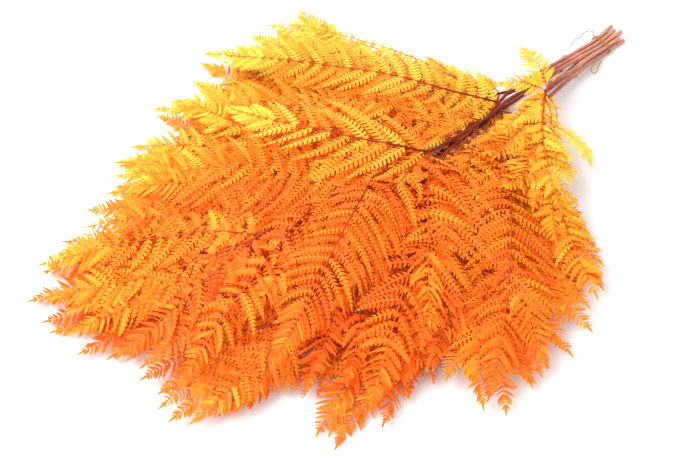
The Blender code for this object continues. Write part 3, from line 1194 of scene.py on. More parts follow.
@dataclass
class Spray:
    """All leaflets of one frond in one mesh.

    Attributes:
        cover: What lies over the frond.
        stalks: Plan points of the stalks that show among the leaves.
        growth: What the leaflets' irregular sizes are drawn from.
        tones: Between what values the frond's own tone lies.
        first_at: How far along an arm the first pair grows.
        last_before: How far before its tip the last one does.
        shortest: The length of a leaflet at the arm's tip.
        base_share: The length of the first ones, as a share of the full one.
        base_over: The length of arm over which they reach it.
        tip_gap: The distance between pairs at the arm's tip.
        full_spacing_at: The leaflet length from which pairs have their full distance.
        spacing_power: The power by which the distance grows.
        sway_opening: How many degrees the arm's sway adds to a leaflet's angle.
        sway_roll: How far the sway makes leaflets lean, in radians.
        sway_mm: The length of the sway.
        forward_least: How much of its bend the shortest leaflet has.
        forward_full: The length over which leaflets reach their full bend.
        short_width: Half the width of a short leaflet, as a share of the distance between pairs.
        long_width: Half the width of a long one, for each square root of a millimetre.
        long_from: The length from which the second rule takes over.
        long_over: The length over which it does.
        stub_width: The least half width of a leaflet.
        slender: How much half width it may have more, for each millimetre of length.
        wave: How much an arm's lift goes up and down.
        wave_shift: By how much that differs from arm to arm, in radians.
        lift_share: The height of a lift of 1, as a share of the step between sheets.
        lift_over: The length over which an arm reaches it.
        end_length: The length of the leaflet that ends an arm.
        end_half_width: Half its width.
        end_before: How far before the arm's tip it starts.
        shown_stalks_from: The lowest level whose stalk shows among the leaves.
        stalk_clear: How near such a stalk a leaflet may come.
        stalk_gap: How much it is shortened before it.
        midrib_clear: How near a midrib it may come.
        midrib_to: The share of the midrib that is kept clear.
        length_step: By how much a length is shortened until it fits.
        tried_to: The length down to which that is tried.
        hemmed_in: The length of a leaflet that fits nowhere.
        least_length: The length under which there is no leaflet.
        small_frond: The level of the small frond by the stalks.
        small_taper: The taper of its leaflets.
        small_longest: Their longest, on its end and on its side arms.
        small_tone: What is added to its tone.
        fill_meet: How far leaflets of the arms in between may grow towards the next arm.
        coarse_under: How many layers hide a leaflet's lobes.
        bare_under: How many layers hide a leaflet.
        coarse_lobe_mm: The distance between lobes that are hidden.
        ridge_points: How many points of a leaflet are looked at for that.
        first_share: Where an arm may end first, as a share of its way.
        last_share: Where it ends at the latest.
        least_share: Where it ends if all of it lies too far out.
        leaves_within: How far out leaflets may reach, as a share of the outline.
    """

    plan: FrondPlan
    heap: Heap
    cover: Cover
    stalks: np.ndarray
    growth: Growth = Growth()
    tones: Point = (-0.05, 0.05)
    first_at: float = 6.0
    last_before: float = 5.0
    shortest: float = 2.5
    base_share: float = 0.72
    base_over: float = 40.0
    tip_gap: float = 2.4
    full_spacing_at: float = 60.0
    spacing_power: float = 1.25
    sway_opening: float = 5.0
    sway_roll: float = 0.2
    sway_mm: float = 19.0
    forward_least: float = 0.3
    forward_full: float = 50.0
    short_width: float = 0.46
    long_width: float = 0.95
    long_from: float = 20.0
    long_over: float = 12.0
    stub_width: float = 0.6
    slender: float = 0.2
    wave: float = 0.5
    wave_shift: float = 1.7
    lift_share: float = 0.32
    lift_over: float = 45.0
    end_length: float = 12.0
    end_half_width: float = 1.5
    end_before: float = 8.0
    shown_stalks_from: int = 5
    stalk_clear: float = 12.0
    stalk_gap: float = 6.0
    midrib_clear: float = 3.0
    midrib_to: float = 0.8
    length_step: float = 2.5
    tried_to: float = 7.0
    hemmed_in: float = 8.0
    least_length: float = 2.0
    small_frond: int = 8
    small_taper: float = 0.62
    small_longest: Point = (34.0, 46.0)
    small_tone: float = 0.08
    fill_meet: float = 0.8
    coarse_under: float = 1.5
    bare_under: float = 4.4
    coarse_lobe_mm: float = 7.0
    ridge_points: int = 8
    first_share: float = 0.3
    last_share: float = 0.97
    least_share: float = 0.4
    leaves_within: float = 1.07

    def __post_init__(self) -> None:
        """Draw the frond's arms and their styles."""
        self.rng = random.Random(SEED * 31 + self.plan.level)
        self.seen = self.plan.side_arms(self.heap)
        self.arms = self.seen + self.plan.fill_arms(self.heap, self.seen)
        self.frond_tone = self.rng.uniform(*self.tones)
        self.styles = [self.style(index) for index in range(len(self.arms))]
        self.ends = [self.end(arm) for arm in self.arms]

    def style(self, index: int) -> ArmStyle:
        """The style of an arm: its own, or one drawn for it.

        Args:
            index: The arm's number.

        Returns:
            The style.
        """
        drawn = ArmStyle.drawn(self.rng)
        if (self.plan.level, index) in STYLES:
            return STYLES[self.plan.level, index]
        if self.plan.level == self.small_frond:
            longest = self.small_longest[abs(self.arms[index].side)]
            tone = drawn.tone + self.small_tone
            drawn = replace(drawn, taper=self.small_taper, longest=longest, tone=tone)
        if index >= len(self.seen):
            drawn = replace(drawn, meet=self.fill_meet)
        return drawn

    def end(self, arm: Arm) -> float:
        """Where an arm ends within the foliage's outline.

        Args:
            arm: The arm.

        Returns:
            The share of its way.
        """
        if arm.free:
            return self.last_share
        shares = np.linspace(self.first_share, self.last_share, 60)
        inside = shares[self.heap.beyond(arm.at(shares)) < 1.0]
        return float(inside[-1]) if len(inside) else self.least_share

    def arm_lift(self, index: int, points: np.ndarray) -> np.ndarray:
        """How far an arm lies above or below its frond's sheet.

        Args:
            index: The arm's number.
            points: Plan points of the arm.

        Returns:
            The lift of each point in millimetres.
        """
        arm = self.arms[index]
        run = np.linalg.norm(points - arm.start, axis=-1)
        lift = self.styles[index].lift or arm.lift
        wave = self.wave * np.sin(run / self.sway_mm + self.wave_shift * index)
        rising = self.lift_share * smooth(run / self.lift_over)
        return (lift + wave) * rising * self.heap.step(points[..., 0], points[..., 1])

    def clear_length(self, base: np.ndarray, way: float, wish: float, index: int) -> float:
        """How long a leaflet may grow before it reaches well over the next arm's half.

        Args:
            base: Where it grows from the arm.
            way: Its plan direction in radians.
            wish: The length it would like to have.
            index: The number of its arm.

        Returns:
            The length it gets.
        """
        arm = self.arms[index]
        lengths = np.arange(wish, min(wish, self.tried_to) - 1.0, -self.length_step)
        tips = base + np.outer(lengths, heading_vector(way))
        shares = np.linspace(0.0, 1.0, 25)
        others = np.concatenate([each.at(shares[2:]) for i, each in enumerate(self.seen) if i != index])
        meet = self.styles[index].meet
        clear = gaps(tips, others) * meet / (1.0 - meet) > gaps(tips, arm.at(shares))
        if arm.side != 0:
            midrib = self.plan.midrib(np.linspace(0.0, self.midrib_to, 60))
            clear &= gaps(tips, midrib) > self.midrib_clear
        if not arm.free:
            clear &= self.heap.beyond(tips) < self.leaves_within
        good = np.flatnonzero(clear)
        return float(lengths[good[0]]) if len(good) else min(wish, self.hemmed_in)

    def shown_length(self, base: np.ndarray, way: float, length: float) -> float:
        """How long a leaflet may be before it hides a stalk that shows.

        Args:
            base: Where it grows from the arm.
            way: Its plan direction in radians.
            length: The length it would have.

        Returns:
            The length it gets, or 0 where its base lies by the stalk.
        """
        reach = np.linspace(0.3, 1.0, 6)[:, None] * length
        blocked = np.flatnonzero(gaps(base + reach * heading_vector(way), self.stalks) < self.stalk_clear)
        if not len(blocked):
            return length
        return float(reach[blocked[0], 0]) - self.stalk_gap if blocked[0] else 0.0

    def free_length(self, base: np.ndarray, way: float, wish: float, index: int) -> float:
        """How long a leaflet is, with what lies round it.

        Args:
            base: Where it grows from the arm.
            way: Its plan direction in radians.
            wish: The length it would like to have.
            index: The number of its arm.

        Returns:
            Its length, or 0 where there is none.
        """
        length = self.clear_length(base, way, wish, index)
        if self.plan.level >= self.shown_stalks_from and not self.arms[index].free:
            length = self.shown_length(base, way, length)
        return length if length > self.least_length else 0.0

    def leaflets(self) -> list[Leaflet]:
        """Every leaflet of the frond that may be seen, arm by arm.

        Returns:
            The leaflets, with fewer lobes where other leaves lie over them.
        """
        made, shown = [], []
        for index, arm in enumerate(self.arms):
            made += self.arm_leaflets(index, arm)
        for leaf in made:
            depth = self.cover.depth(leaf.ridge(self.ridge_points))
            if depth < self.coarse_under:
                shown.append(leaf)
            elif depth < self.bare_under:
                shown.append(replace(leaf, lobe_mm=self.coarse_lobe_mm))
        return shown

    def half_width(self, step: float, length: float) -> float:
        """Half a leaflet's width.

        Args:
            step: The distance to the next pair.
            length: The leaflet's length.

        Returns:
            A width that fills the gap between short leaflets, and grows slower on long ones.
        """
        short, long = self.short_width * step, self.long_width * math.sqrt(length)
        half = mix(short, long, smooth((length - self.long_from) / self.long_over))
        return float(min(half, self.stub_width + self.slender * length))

    def arm_leaflets(self, index: int, arm: Arm) -> list[Leaflet]:
        """The leaflets of one arm in pairs, and the one that ends it.

        Args:
            index: The arm's number.
            arm: The arm.

        Returns:
            The leaflets, base first.
        """
        rng, growth, style, made = self.rng, self.growth, self.styles[index], []
        run = arm.lengths()
        shares = np.linspace(0.0, 1.0, len(run))
        span = float(np.interp(self.ends[index], shares, run))
        arm_tone = self.frond_tone + style.tone
        arm_roll, phase = math.radians(rng.uniform(*growth.arm_roll)), rng.uniform(*growth.phase)
        distance = self.first_at
        while distance < span - self.last_before:
            t = float(np.interp(distance, run, shares))
            base = arm.at(t)
            full = min(style.longest, self.shortest + style.taper * (span - distance))
            full *= mix(self.base_share, 1.0, smooth(distance / self.base_over))
            lift = float(self.arm_lift(index, base[None])[0])
            spread = min(1.0, full / self.full_spacing_at) ** self.spacing_power
            step = mix(self.tip_gap, style.spacing, spread)
            sway = math.sin(distance / self.sway_mm + phase)
            for hand in (1, -1):
                opening = mix(*style.opening, t) + self.sway_opening * sway
                opening = math.radians(opening + rng.gauss(*growth.opening) * style.loose)
                way = arm.heading(t) + hand * opening
                length = self.free_length(base, way, full * rng.uniform(*growth.length), index)
                supple = min(1.0, self.forward_least + length / self.forward_full)
                forward = -hand * math.radians(rng.uniform(*growth.forward)) * supple
                forward *= 1.0 + style.loose * max(0.0, rng.gauss(*growth.hook))
                roll = arm_roll + self.sway_roll * sway
                roll += hand * math.radians(rng.gauss(*growth.roll) * style.loose)
                twist = math.radians(rng.gauss(*growth.twist) * style.loose)
                rise, droop = rng.uniform(*growth.rise), rng.uniform(*growth.droop)
                wide, tone = rng.uniform(*growth.width), rng.gauss(*growth.tone)
                if length == 0.0:
                    continue
                made.append(Leaflet(
                    base=base, heading=way - forward * 0.5, length=length,
                    half_width=self.half_width(step, length) * style.width * wide, bend=forward,
                    roll=roll, twist=twist, rise=rise, droop=droop, lift=lift,
                    tone=arm_tone + tone, lobe_mm=style.lobe_mm))
            distance += step
        t = float(np.interp(max(0.0, span - self.end_before), run, shares))
        base = arm.at(t)
        lift = float(self.arm_lift(index, base[None])[0])
        made.append(Leaflet(
            base=base, heading=arm.heading(t), length=self.end_length, half_width=self.end_half_width,
            bend=0.05, roll=arm_roll, twist=0.0, rise=0.03, droop=0.08, lift=lift,
            tone=arm_tone + 0.05))
        return made

    def build(self, finish: bpy.types.Material) -> bpy.types.Object:
        """Make the piece and lay it over what is below.

        Args:
            finish: The leaf material.

        Returns:
            The object that holds all leaflets of the frond.
        """
        leaves = self.leaflets()
        bm = bmesh.new()
        places, tones, rims = [], [], []
        for leaf in leaves:
            bm.from_mesh(leaf.shape().mesh)
            points, tone, rim = leaf.points(self.heap, self.plan.level)
            places.append(points)
            tones.append(tone)
            rims.append(rim)
            self.cover.add(points, leaf.area())
        name = f"leaves_{self.plan.level + 1}"
        mesh = bpy.data.meshes.new(name)
        bm.to_mesh(mesh)
        bm.free()
        world = (np.concatenate(places) + PLAN_SHIFT) * MM
        mesh.vertices.foreach_set("co", world.astype(np.float32).ravel())
        for label, values in (("tone", tones), ("rim", rims)):
            layer = mesh.attributes.new(label, "FLOAT", "POINT")
            layer.data.foreach_set("value", np.concatenate(values).astype(np.float32))
        mesh.materials.append(finish)
        mesh.update()
        triangles = sum(face.loop_total - 2 for face in mesh.polygons)
        LOG.info("%s: %d leaflets, %d triangles", name, len(leaves), triangles)
        return linked(name, mesh)


def frame_at(place: np.ndarray, ahead: np.ndarray, radius: float) -> Matrix:
    """The matrix that puts a unit ring across a line.

    Args:
        place: The ring's centre.
        ahead: The line's direction there.
        radius: The ring's radius.

    Returns:
        A matrix whose Z follows the line.
    """
    z = Vector(ahead).normalized()
    x = z.cross(Vector((0.0, 0.0, 1.0)))
    if x.length < 0.2:
        x = z.cross(Vector((0.0, 1.0, 0.0)))
    x.normalize()
    y = z.cross(x)
    turn = Matrix((x * radius, y * radius, z * radius)).transposed().to_4x4()
    return Matrix.Translation(Vector(place)) @ turn


def sweep(bm: bmesh.types.BMesh, path: np.ndarray, radii: np.ndarray, sides: int,
          tones: np.ndarray, groove: float = 0.0) -> None:
    """Draw a round bar along a line by extruding a ring from point to point.

    Args:
        bm: The mesh that takes the bar.
        path: Points of its centre line.
        radii: Its radius at each point.
        sides: How many sides it has.
        tones: The value of the attribute tone at each point.
        groove: How deep every other corner is pulled in, as a share of the radius.
    """
    layer = bm.verts.layers.float["tone"]
    ahead = np.gradient(path, axis=0)
    seat = frame_at(path[0], ahead[0], float(radii[0]))
    ring = bmesh.ops.create_circle(bm, cap_ends=False, radius=1.0, segments=sides, matrix=seat)["verts"]
    for i, v in enumerate(ring):
        v[layer] = float(tones[0])
        if i % 2:
            v.co = v.co.lerp(Vector(path[0]), groove)
    edges = list(dict.fromkeys(e for v in ring for e in v.link_edges))
    first = edges
    for place, way, radius, tone in zip(path[1:], ahead[1:], radii[1:], tones[1:]):
        moved = frame_at(place, way, float(radius))
        geom = bmesh.ops.extrude_edge_only(bm, edges=edges)["geom"]
        verts = [g for g in geom if isinstance(g, bmesh.types.BMVert)]
        edges = [g for g in geom if isinstance(g, bmesh.types.BMEdge)]
        bmesh.ops.transform(bm, matrix=moved @ seat.inverted(), verts=verts)
        for v in verts:
            v[layer] = float(tone)
        seat = moved
    bmesh.ops.holes_fill(bm, edges=first + edges, sides=0)


def swept_object(name: str, bm: bmesh.types.BMesh, finish: bpy.types.Material) -> bpy.types.Object:
    """Turn a mesh of bars, drawn in plan millimetres, into a finished object.

    Args:
        name: The piece's name.
        bm: The mesh, which is freed.
        finish: Its material.

    Returns:
        The object, with its place in its mesh.
    """
    bmesh.ops.translate(bm, vec=Vector(PLAN_SHIFT), verts=bm.verts)
    bmesh.ops.scale(bm, vec=(MM, MM, MM), verts=bm.verts)
    bmesh.ops.recalc_face_normals(bm, faces=bm.faces)
    for f in bm.faces:
        f.smooth = len(f.verts) == 4
    mesh = bpy.data.meshes.new(name)
    bm.to_mesh(mesh)
    bm.free()
    mesh.materials.append(finish)
    return linked(name, mesh)


def new_bars() -> bmesh.types.BMesh:
    """Start a mesh of bars.

    Returns:
        An empty mesh with the attribute tone.
    """
    bm = bmesh.new()
    bm.verts.layers.float.new("tone")
    return bm


@dataclass
class Ribs:
    """The midrib of a frond and the ribs of its arms.

    Attributes:
        spray: The frond's leaflets and arms.
        base_radius: The midrib's radius at the fork.
        slim_radius: The same on a frond with leaflets on its midrib.
        end_radius: The radius of an arm's rib at its tip.
        full_arm: The length from which an arm's rib has its full radius.
        tip_tone: How much brighter a rib is at its tip.
        midrib_tones: The midrib's tone at the fork, and what it would be at the frond's tip.
        leafy_tones: The same on a frond with leaflets on its midrib.
        overlap: How far the midrib runs into the frond's end.
        floor_gap: How high over the floor a rib lies at least, past its radius.
    """

    spray: Spray
    base_radius: float = 1.35
    slim_radius: float = 0.9
    end_radius: float = 0.3
    full_arm: float = 160.0
    stations: int = 15
    sides: int = 7
    tip_tone: float = 0.75
    midrib_tones: Point = (0.0, 0.7)
    leafy_tones: Point = (0.5, 0.9)
    overlap: float = 0.02
    floor_gap: float = 0.1

    def line(self, points: np.ndarray, lift: np.ndarray) -> np.ndarray:
        """Lay plan points on the frond's sheet.

        Args:
            points: The plan points.
            lift: How far above the sheet each lies.

        Returns:
            The points with their heights.
        """
        x, y = points.T
        z = self.spray.heap.height(self.spray.plan.level, x, y) + lift
        return np.stack((x, y, np.maximum(z, self.base_radius + self.floor_gap)), 1)

    def build(self, finish: bpy.types.Material) -> bpy.types.Object:
        """Make the piece.

        Args:
            finish: The rib material.

        Returns:
            The object that holds the frond's ribs.
        """
        plan, bm = self.spray.plan, new_bars()
        t = np.linspace(0.0, plan.end_at + self.overlap, self.stations)
        base = self.slim_radius if plan.leafy_midrib else self.base_radius
        tones = self.leafy_tones if plan.leafy_midrib else self.midrib_tones
        sweep(bm, self.line(plan.midrib(t), np.zeros(len(t))), mix(base, self.end_radius * 2.0, t),
              self.sides, mix(*tones, t))
        for index, arm in enumerate(self.spray.arms):
            t = np.linspace(0.0, self.spray.ends[index], self.stations)
            points = arm.at(t)
            lift = self.spray.arm_lift(index, points)
            style = self.spray.styles[index]
            thick = style.rib * min(1.0, arm.lengths()[-1] / self.full_arm) ** 0.5
            sweep(bm, self.line(points, lift), mix(thick, self.end_radius, t), self.sides,
                  style.rib_tone + self.tip_tone * t)
        return swept_object(f"ribs_{plan.level + 1}", bm, finish)


@dataclass
class Stub:
    """The round stub where a side arm was stripped off a stalk.

    Attributes:
        root: The stalk's centre at the stub.
        side: 1 towards +Y, -1 towards -Y.
        rings: How far out each ring lies, and its radius.
        sides: How many sides it has.
        tilts: Between what angles to the floor it points, in degrees.
        lean: How far it leans towards the foliage.
        floor_gap: The least gap under it.
        tone: Its place on the stalk's colour ramp.
    """

    root: np.ndarray
    side: float
    rings: tuple[Point, ...] = (
        (0.4, 1.5), (1.5, 1.35), (2.4, 1.2), (3.3, 1.35), (3.9, 1.0), (4.1, 0.4))
    sides: int = 9
    tilts: Point = (-35.0, 60.0)
    lean: float = 0.45
    floor_gap: float = 0.15
    tone: float = 0.75

    def draw(self, bm: bmesh.types.BMesh, rng: random.Random) -> None:
        """Add the stub to its stalk.

        Args:
            bm: The stalk's mesh.
            rng: Draws its tilt.
        """
        tilt = math.radians(rng.uniform(*self.tilts))
        way = np.array((-self.lean, self.side * math.cos(tilt), math.sin(tilt)))
        way /= np.linalg.norm(way)
        steps, radii = np.array(self.rings).T
        path = self.root + np.outer(steps, way)
        path[:, 2] = np.maximum(path[:, 2], radii + self.floor_gap)
        sweep(bm, path, radii, self.sides, np.full(len(steps), self.tone))


@dataclass
class Stalk:
    """A bare stalk: grooved, with knuckles and the stubs of a stripped pair of arms.

    Attributes:
        pitch: The distance between stalks in a row.
        row_rise: The height from one row to the next.
        tie_height: The height of the lower row under the twine.
        tie: Where the stalks lie side by side, from and to, in plan x.
        join_x: Where a stalk that forks further in joins its sheet.
        cut_height: The height of the lower row's cut ends.
        cut_rise: The height from row to row at the cut ends.
        splay_over: The length over which the cut ends spread.
        splay: How much they spread.
        flat_stalk: The level of the stalk that rests on the floor.
        sides: How many corners it has.
        groove: How deep every other corner is pulled in, as a share of the radius.
        cuts: Between what plan x the cut ends lie.
        flat_cut: Plan x of the cut end of the stalk on the floor.
        knuckles: The same for the knuckles.
        chamfer: The width of the rounded edge at the cut.
        cut_radius: The radius there, as a share of the full one.
        tie_marks: Where rings lie round the tie.
        knuckle_marks: Where they lie round the knuckle.
        fork_marks: Where they lie round the fork, along the midrib.
        even_marks: Where even rings start, and their distance.
        thin: The radius at the far end, as a share of the full one.
        thin_over: The length over which it shrinks.
        knuckle_half: Half the width of a knuckle.
        knuckle_swell: How much thicker it is.
        pale_length: The length over which the pale cut end, partly its own colour and partly painted
            light, darkens into painted shade towards the foliage.
        pale_tone: The tone at the twine.
        even_gap: How far before the fork the even rings stop.
        fork_gap: How far before it any of these rings does.
        stub_apart: How far from the knuckle's middle each stub grows.
        flat_rings: How many rings of the lowest stalk rest on the floor.
        flat_gap: Their height, as a share of their radius.
        course_step: The distance between the points of the stalk's course.
    """

    plan: FrondPlan
    heap: Heap
    radius: float = 2.15
    pitch: float = 4.9
    row_rise: float = 4.4
    tie_height: float = 4.8
    tie: Point = (3.0, 16.0)
    join_x: float = -150.0
    cut_height: float = 2.5
    cut_rise: float = 5.0
    splay_over: float = 26.0
    splay: float = 0.25
    flat_stalk: int = 1
    sides: int = 14
    groove: float = 0.13
    cuts: Point = (25.0, 44.0)
    flat_cut: float = 42.0
    knuckles: Point = (-62.0, -24.0)
    chamfer: float = 1.2
    cut_radius: float = 0.9
    tie_marks: tuple[float, ...] = (25.0, 18.0, 9.5, 2.0, -8.0)
    knuckle_marks: tuple[float, ...] = (9.0, 4.0, 1.5, -1.5, -4.0, -9.0, -18.0)
    fork_marks: Place = (5.0, 0.0, -3.0)
    even_marks: Point = (-95.0, -14.0)
    thin: float = 0.8
    thin_over: float = 200.0
    knuckle_half: float = 3.2
    knuckle_swell: float = 0.32
    pale_length: float = 135.0
    pale_tone: float = 1.2
    even_gap: float = 12.0
    fork_gap: float = 9.0
    stub_apart: float = 3.0
    flat_rings: int = 3
    flat_gap: float = 1.01
    course_step: float = 6.0

    def sheet(self, x: float, y: float) -> float:
        """The height of the frond's sheet at a plan point."""
        return float(self.heap.height(self.plan.level, np.array(x), np.array(y)))

    def centre(self, x: float) -> Place:
        """The centre of the stalk at a plan x, as in the solids.

        Args:
            x: A plan x between the fork and the cut end.

        Returns:
            The centre's plan place.
        """
        column = self.plan.column * self.pitch
        row = self.tie_height + self.plan.row * self.row_rise
        near, far = self.tie
        if x > near:
            spread = max(0.0, x - far) / self.splay_over
            end = self.cut_height + self.plan.row * self.cut_rise
            return (x, column * (1 + self.splay * spread), mix(row, end, spread))
        fork, join = self.plan.fork[0] - near, max(self.join_x, self.plan.fork[0]) - near
        back = x - near
        y = float(mix(column, self.plan.fork[1], smooth(back / fork)))
        if back > join:
            y_join = float(mix(column, self.plan.fork[1], smooth(join / fork)))
            return (x, y, mix(row, self.sheet(join + near, y_join), back / join))
        return (x, y, self.sheet(x, y))

    def course(self) -> np.ndarray:
        """Plan points of the stalk from its fork to the tie."""
        marks = np.arange(self.plan.fork[0], 0.0, self.course_step)
        return np.array([self.centre(x)[:2] for x in marks])

    def marks(self, cut: float, knuckle: float) -> list[float]:
        """Where the stalk's rings lie.

        Args:
            cut: Plan x of the cut end.
            knuckle: Plan x of the knuckle.

        Returns:
            Plan x of each ring, the cut end first.
        """
        fork, (first, step) = self.plan.fork[0], self.even_marks
        marks = {cut, cut - self.chamfer, *self.tie_marks}
        marks |= {knuckle + mark for mark in self.knuckle_marks}
        marks |= set(np.arange(first, fork + self.even_gap, step))
        return sorted((mark for mark in marks if fork + self.fork_gap < mark <= cut), reverse=True)

    def build(self, finish: bpy.types.Material) -> bpy.types.Object:
        """Make the piece.

        Args:
            finish: The stalk material.

        Returns:
            The stalk's object.
        """
        level = self.plan.level
        rng = random.Random(SEED * 7 + level)
        cut = self.flat_cut if level == self.flat_stalk else rng.uniform(*self.cuts)
        knuckle = rng.uniform(*self.knuckles)
        points = [self.centre(mark) for mark in self.marks(cut, knuckle)]
        ahead = self.plan.midrib(0.1) - self.plan.midrib(0.0)
        ahead /= np.linalg.norm(ahead)
        for back in self.fork_marks:
            x, y = np.array(self.plan.fork) - ahead * back
            points.append((x, y, self.sheet(x, y)))
        path = np.array(points)
        radii = self.radius * mix(1.0, self.thin, smooth(-path[:, 0] / self.thin_over))
        swell = np.exp(-((path[:, 0] - knuckle) / self.knuckle_half) ** 2)
        radii = radii * (1.0 + self.knuckle_swell * swell)
        radii[0] *= self.cut_radius
        if level == self.flat_stalk:
            path[:self.flat_rings, 2] = radii[:self.flat_rings] * self.flat_gap
        # the tone falls from the cut end to the fork: pale at the cut end, partly its own colour and
        # partly painted light, and dark among the foliage as painted shade
        tones = np.clip(self.pale_tone + path[:, 0] / self.pale_length, 0.0, 1.0)
        bm = new_bars()
        sweep(bm, path, radii, self.sides, tones, self.groove)
        for side in (1.0, -1.0):
            root = np.array(self.centre(knuckle + self.stub_apart * side))
            Stub(root, side).draw(bm, rng)
        return swept_object(f"stalk_{level + 1}", bm, finish)


@dataclass
class Twine:
    """Two twisted strands wound round the stalks, with a loop and a loose end.

    Attributes:
        clearance: The gap between it and the stalks.
        pitch: The distance between turns.
        turns: How often it goes round.
        turn_points: How many points a turn has.
        twist_mm: The length of one twist of the strands.
        strand_radius: A strand's radius.
        strand_offset: How far its centre lies from the twine's.
        step: The distance between its rings.
        roundings: How often the corners of the route are cut.
        loop: Points of the loop before the turns.
        end: Points of the loose end after them.
    """

    stalks: list[Stalk]
    radius: float = 0.6
    clearance: float = 0.35
    pitch: float = 1.9
    turns: float = 2.5
    turn_points: int = 20
    twist_mm: float = 4.2
    strand_radius: float = 0.36
    strand_offset: float = 0.3
    sides: int = 6
    step: float = 0.7
    roundings: int = 2
    loop: tuple[Place, ...] = (
        (-7, -15.5, 5), (-14, -18, 4), (-21, -22, 3.5), (-26, -22.5, 5), (-28, -19, 7.5),
        (-24, -16, 10), (-15, -15, 11), (-6, -15.2, 10.5), (2, -15, 9.5))
    end: tuple[Place, ...] = (
        (12.5, 15.2, 9), (12, 17, 12), (8, 20, 13), (2, 22, 11.5), (-3, 21, 9),
        (-8, 24, 7.5), (-12, 22.5, 5), (-16, 24.5, 3))

    def route(self) -> np.ndarray:
        """The twine's centre line, with the same points as in the solids.

        Returns:
            The points, from the loop to the loose end.
        """
        wound = []
        near, far = self.stalks[0].tie
        out = self.stalks[0].radius + self.radius + self.clearance
        for i in range(int(self.turns * self.turn_points) + 1):
            turns = i / self.turn_points
            x = (near + far) / 2 + (turns - self.turns / 2) * self.pitch
            angle = math.pi + 2 * math.pi * turns
            way = (math.cos(angle), math.sin(angle))
            held = max((stalk.centre(x) for stalk in self.stalks),
                       key=lambda centre: centre[1] * way[0] + centre[2] * way[1])
            wound.append((x, held[1] + way[0] * out, held[2] + way[1] * out))
        return np.array(list(self.loop) + wound + list(self.end), float)

    def even_route(self) -> np.ndarray:
        """The route with smooth bends and even steps.

        Returns:
            The points.
        """
        points = self.route()
        for _ in range(self.roundings):
            cut = [points[0]]
            for a, b in zip(points[:-1], points[1:]):
                cut += [mix(a, b, 0.25), mix(a, b, 0.75)]
            points = np.array(cut + [points[-1]])
        run = np.concatenate(([0.0], np.cumsum(np.linalg.norm(np.diff(points, axis=0), axis=1))))
        even = np.arange(0.0, run[-1], self.step)
        return np.stack([np.interp(even, run, points[:, k]) for k in range(3)], 1)

    def build(self, finish: bpy.types.Material) -> bpy.types.Object:
        """Make the piece.

        Args:
            finish: The twine material.

        Returns:
            The twine's object.
        """
        path = self.even_route()
        ahead = np.gradient(path, axis=0)
        ahead /= np.linalg.norm(ahead, axis=1)[:, None]
        across = np.cross(ahead, (0.0, 0.0, 1.0))
        across /= np.maximum(np.linalg.norm(across, axis=1), 0.2)[:, None]
        up = np.cross(across, ahead)
        angle = 2 * math.pi * np.arange(len(path)) * self.step / self.twist_mm
        bm = new_bars()
        for phase in (0.0, math.pi):
            ring = across * np.cos(angle + phase)[:, None] + up * np.sin(angle + phase)[:, None]
            sweep(bm, path + ring * self.strand_offset, np.full(len(path), self.strand_radius),
                  self.sides, np.zeros(len(path)))
        return swept_object("twine_strands", bm, finish)


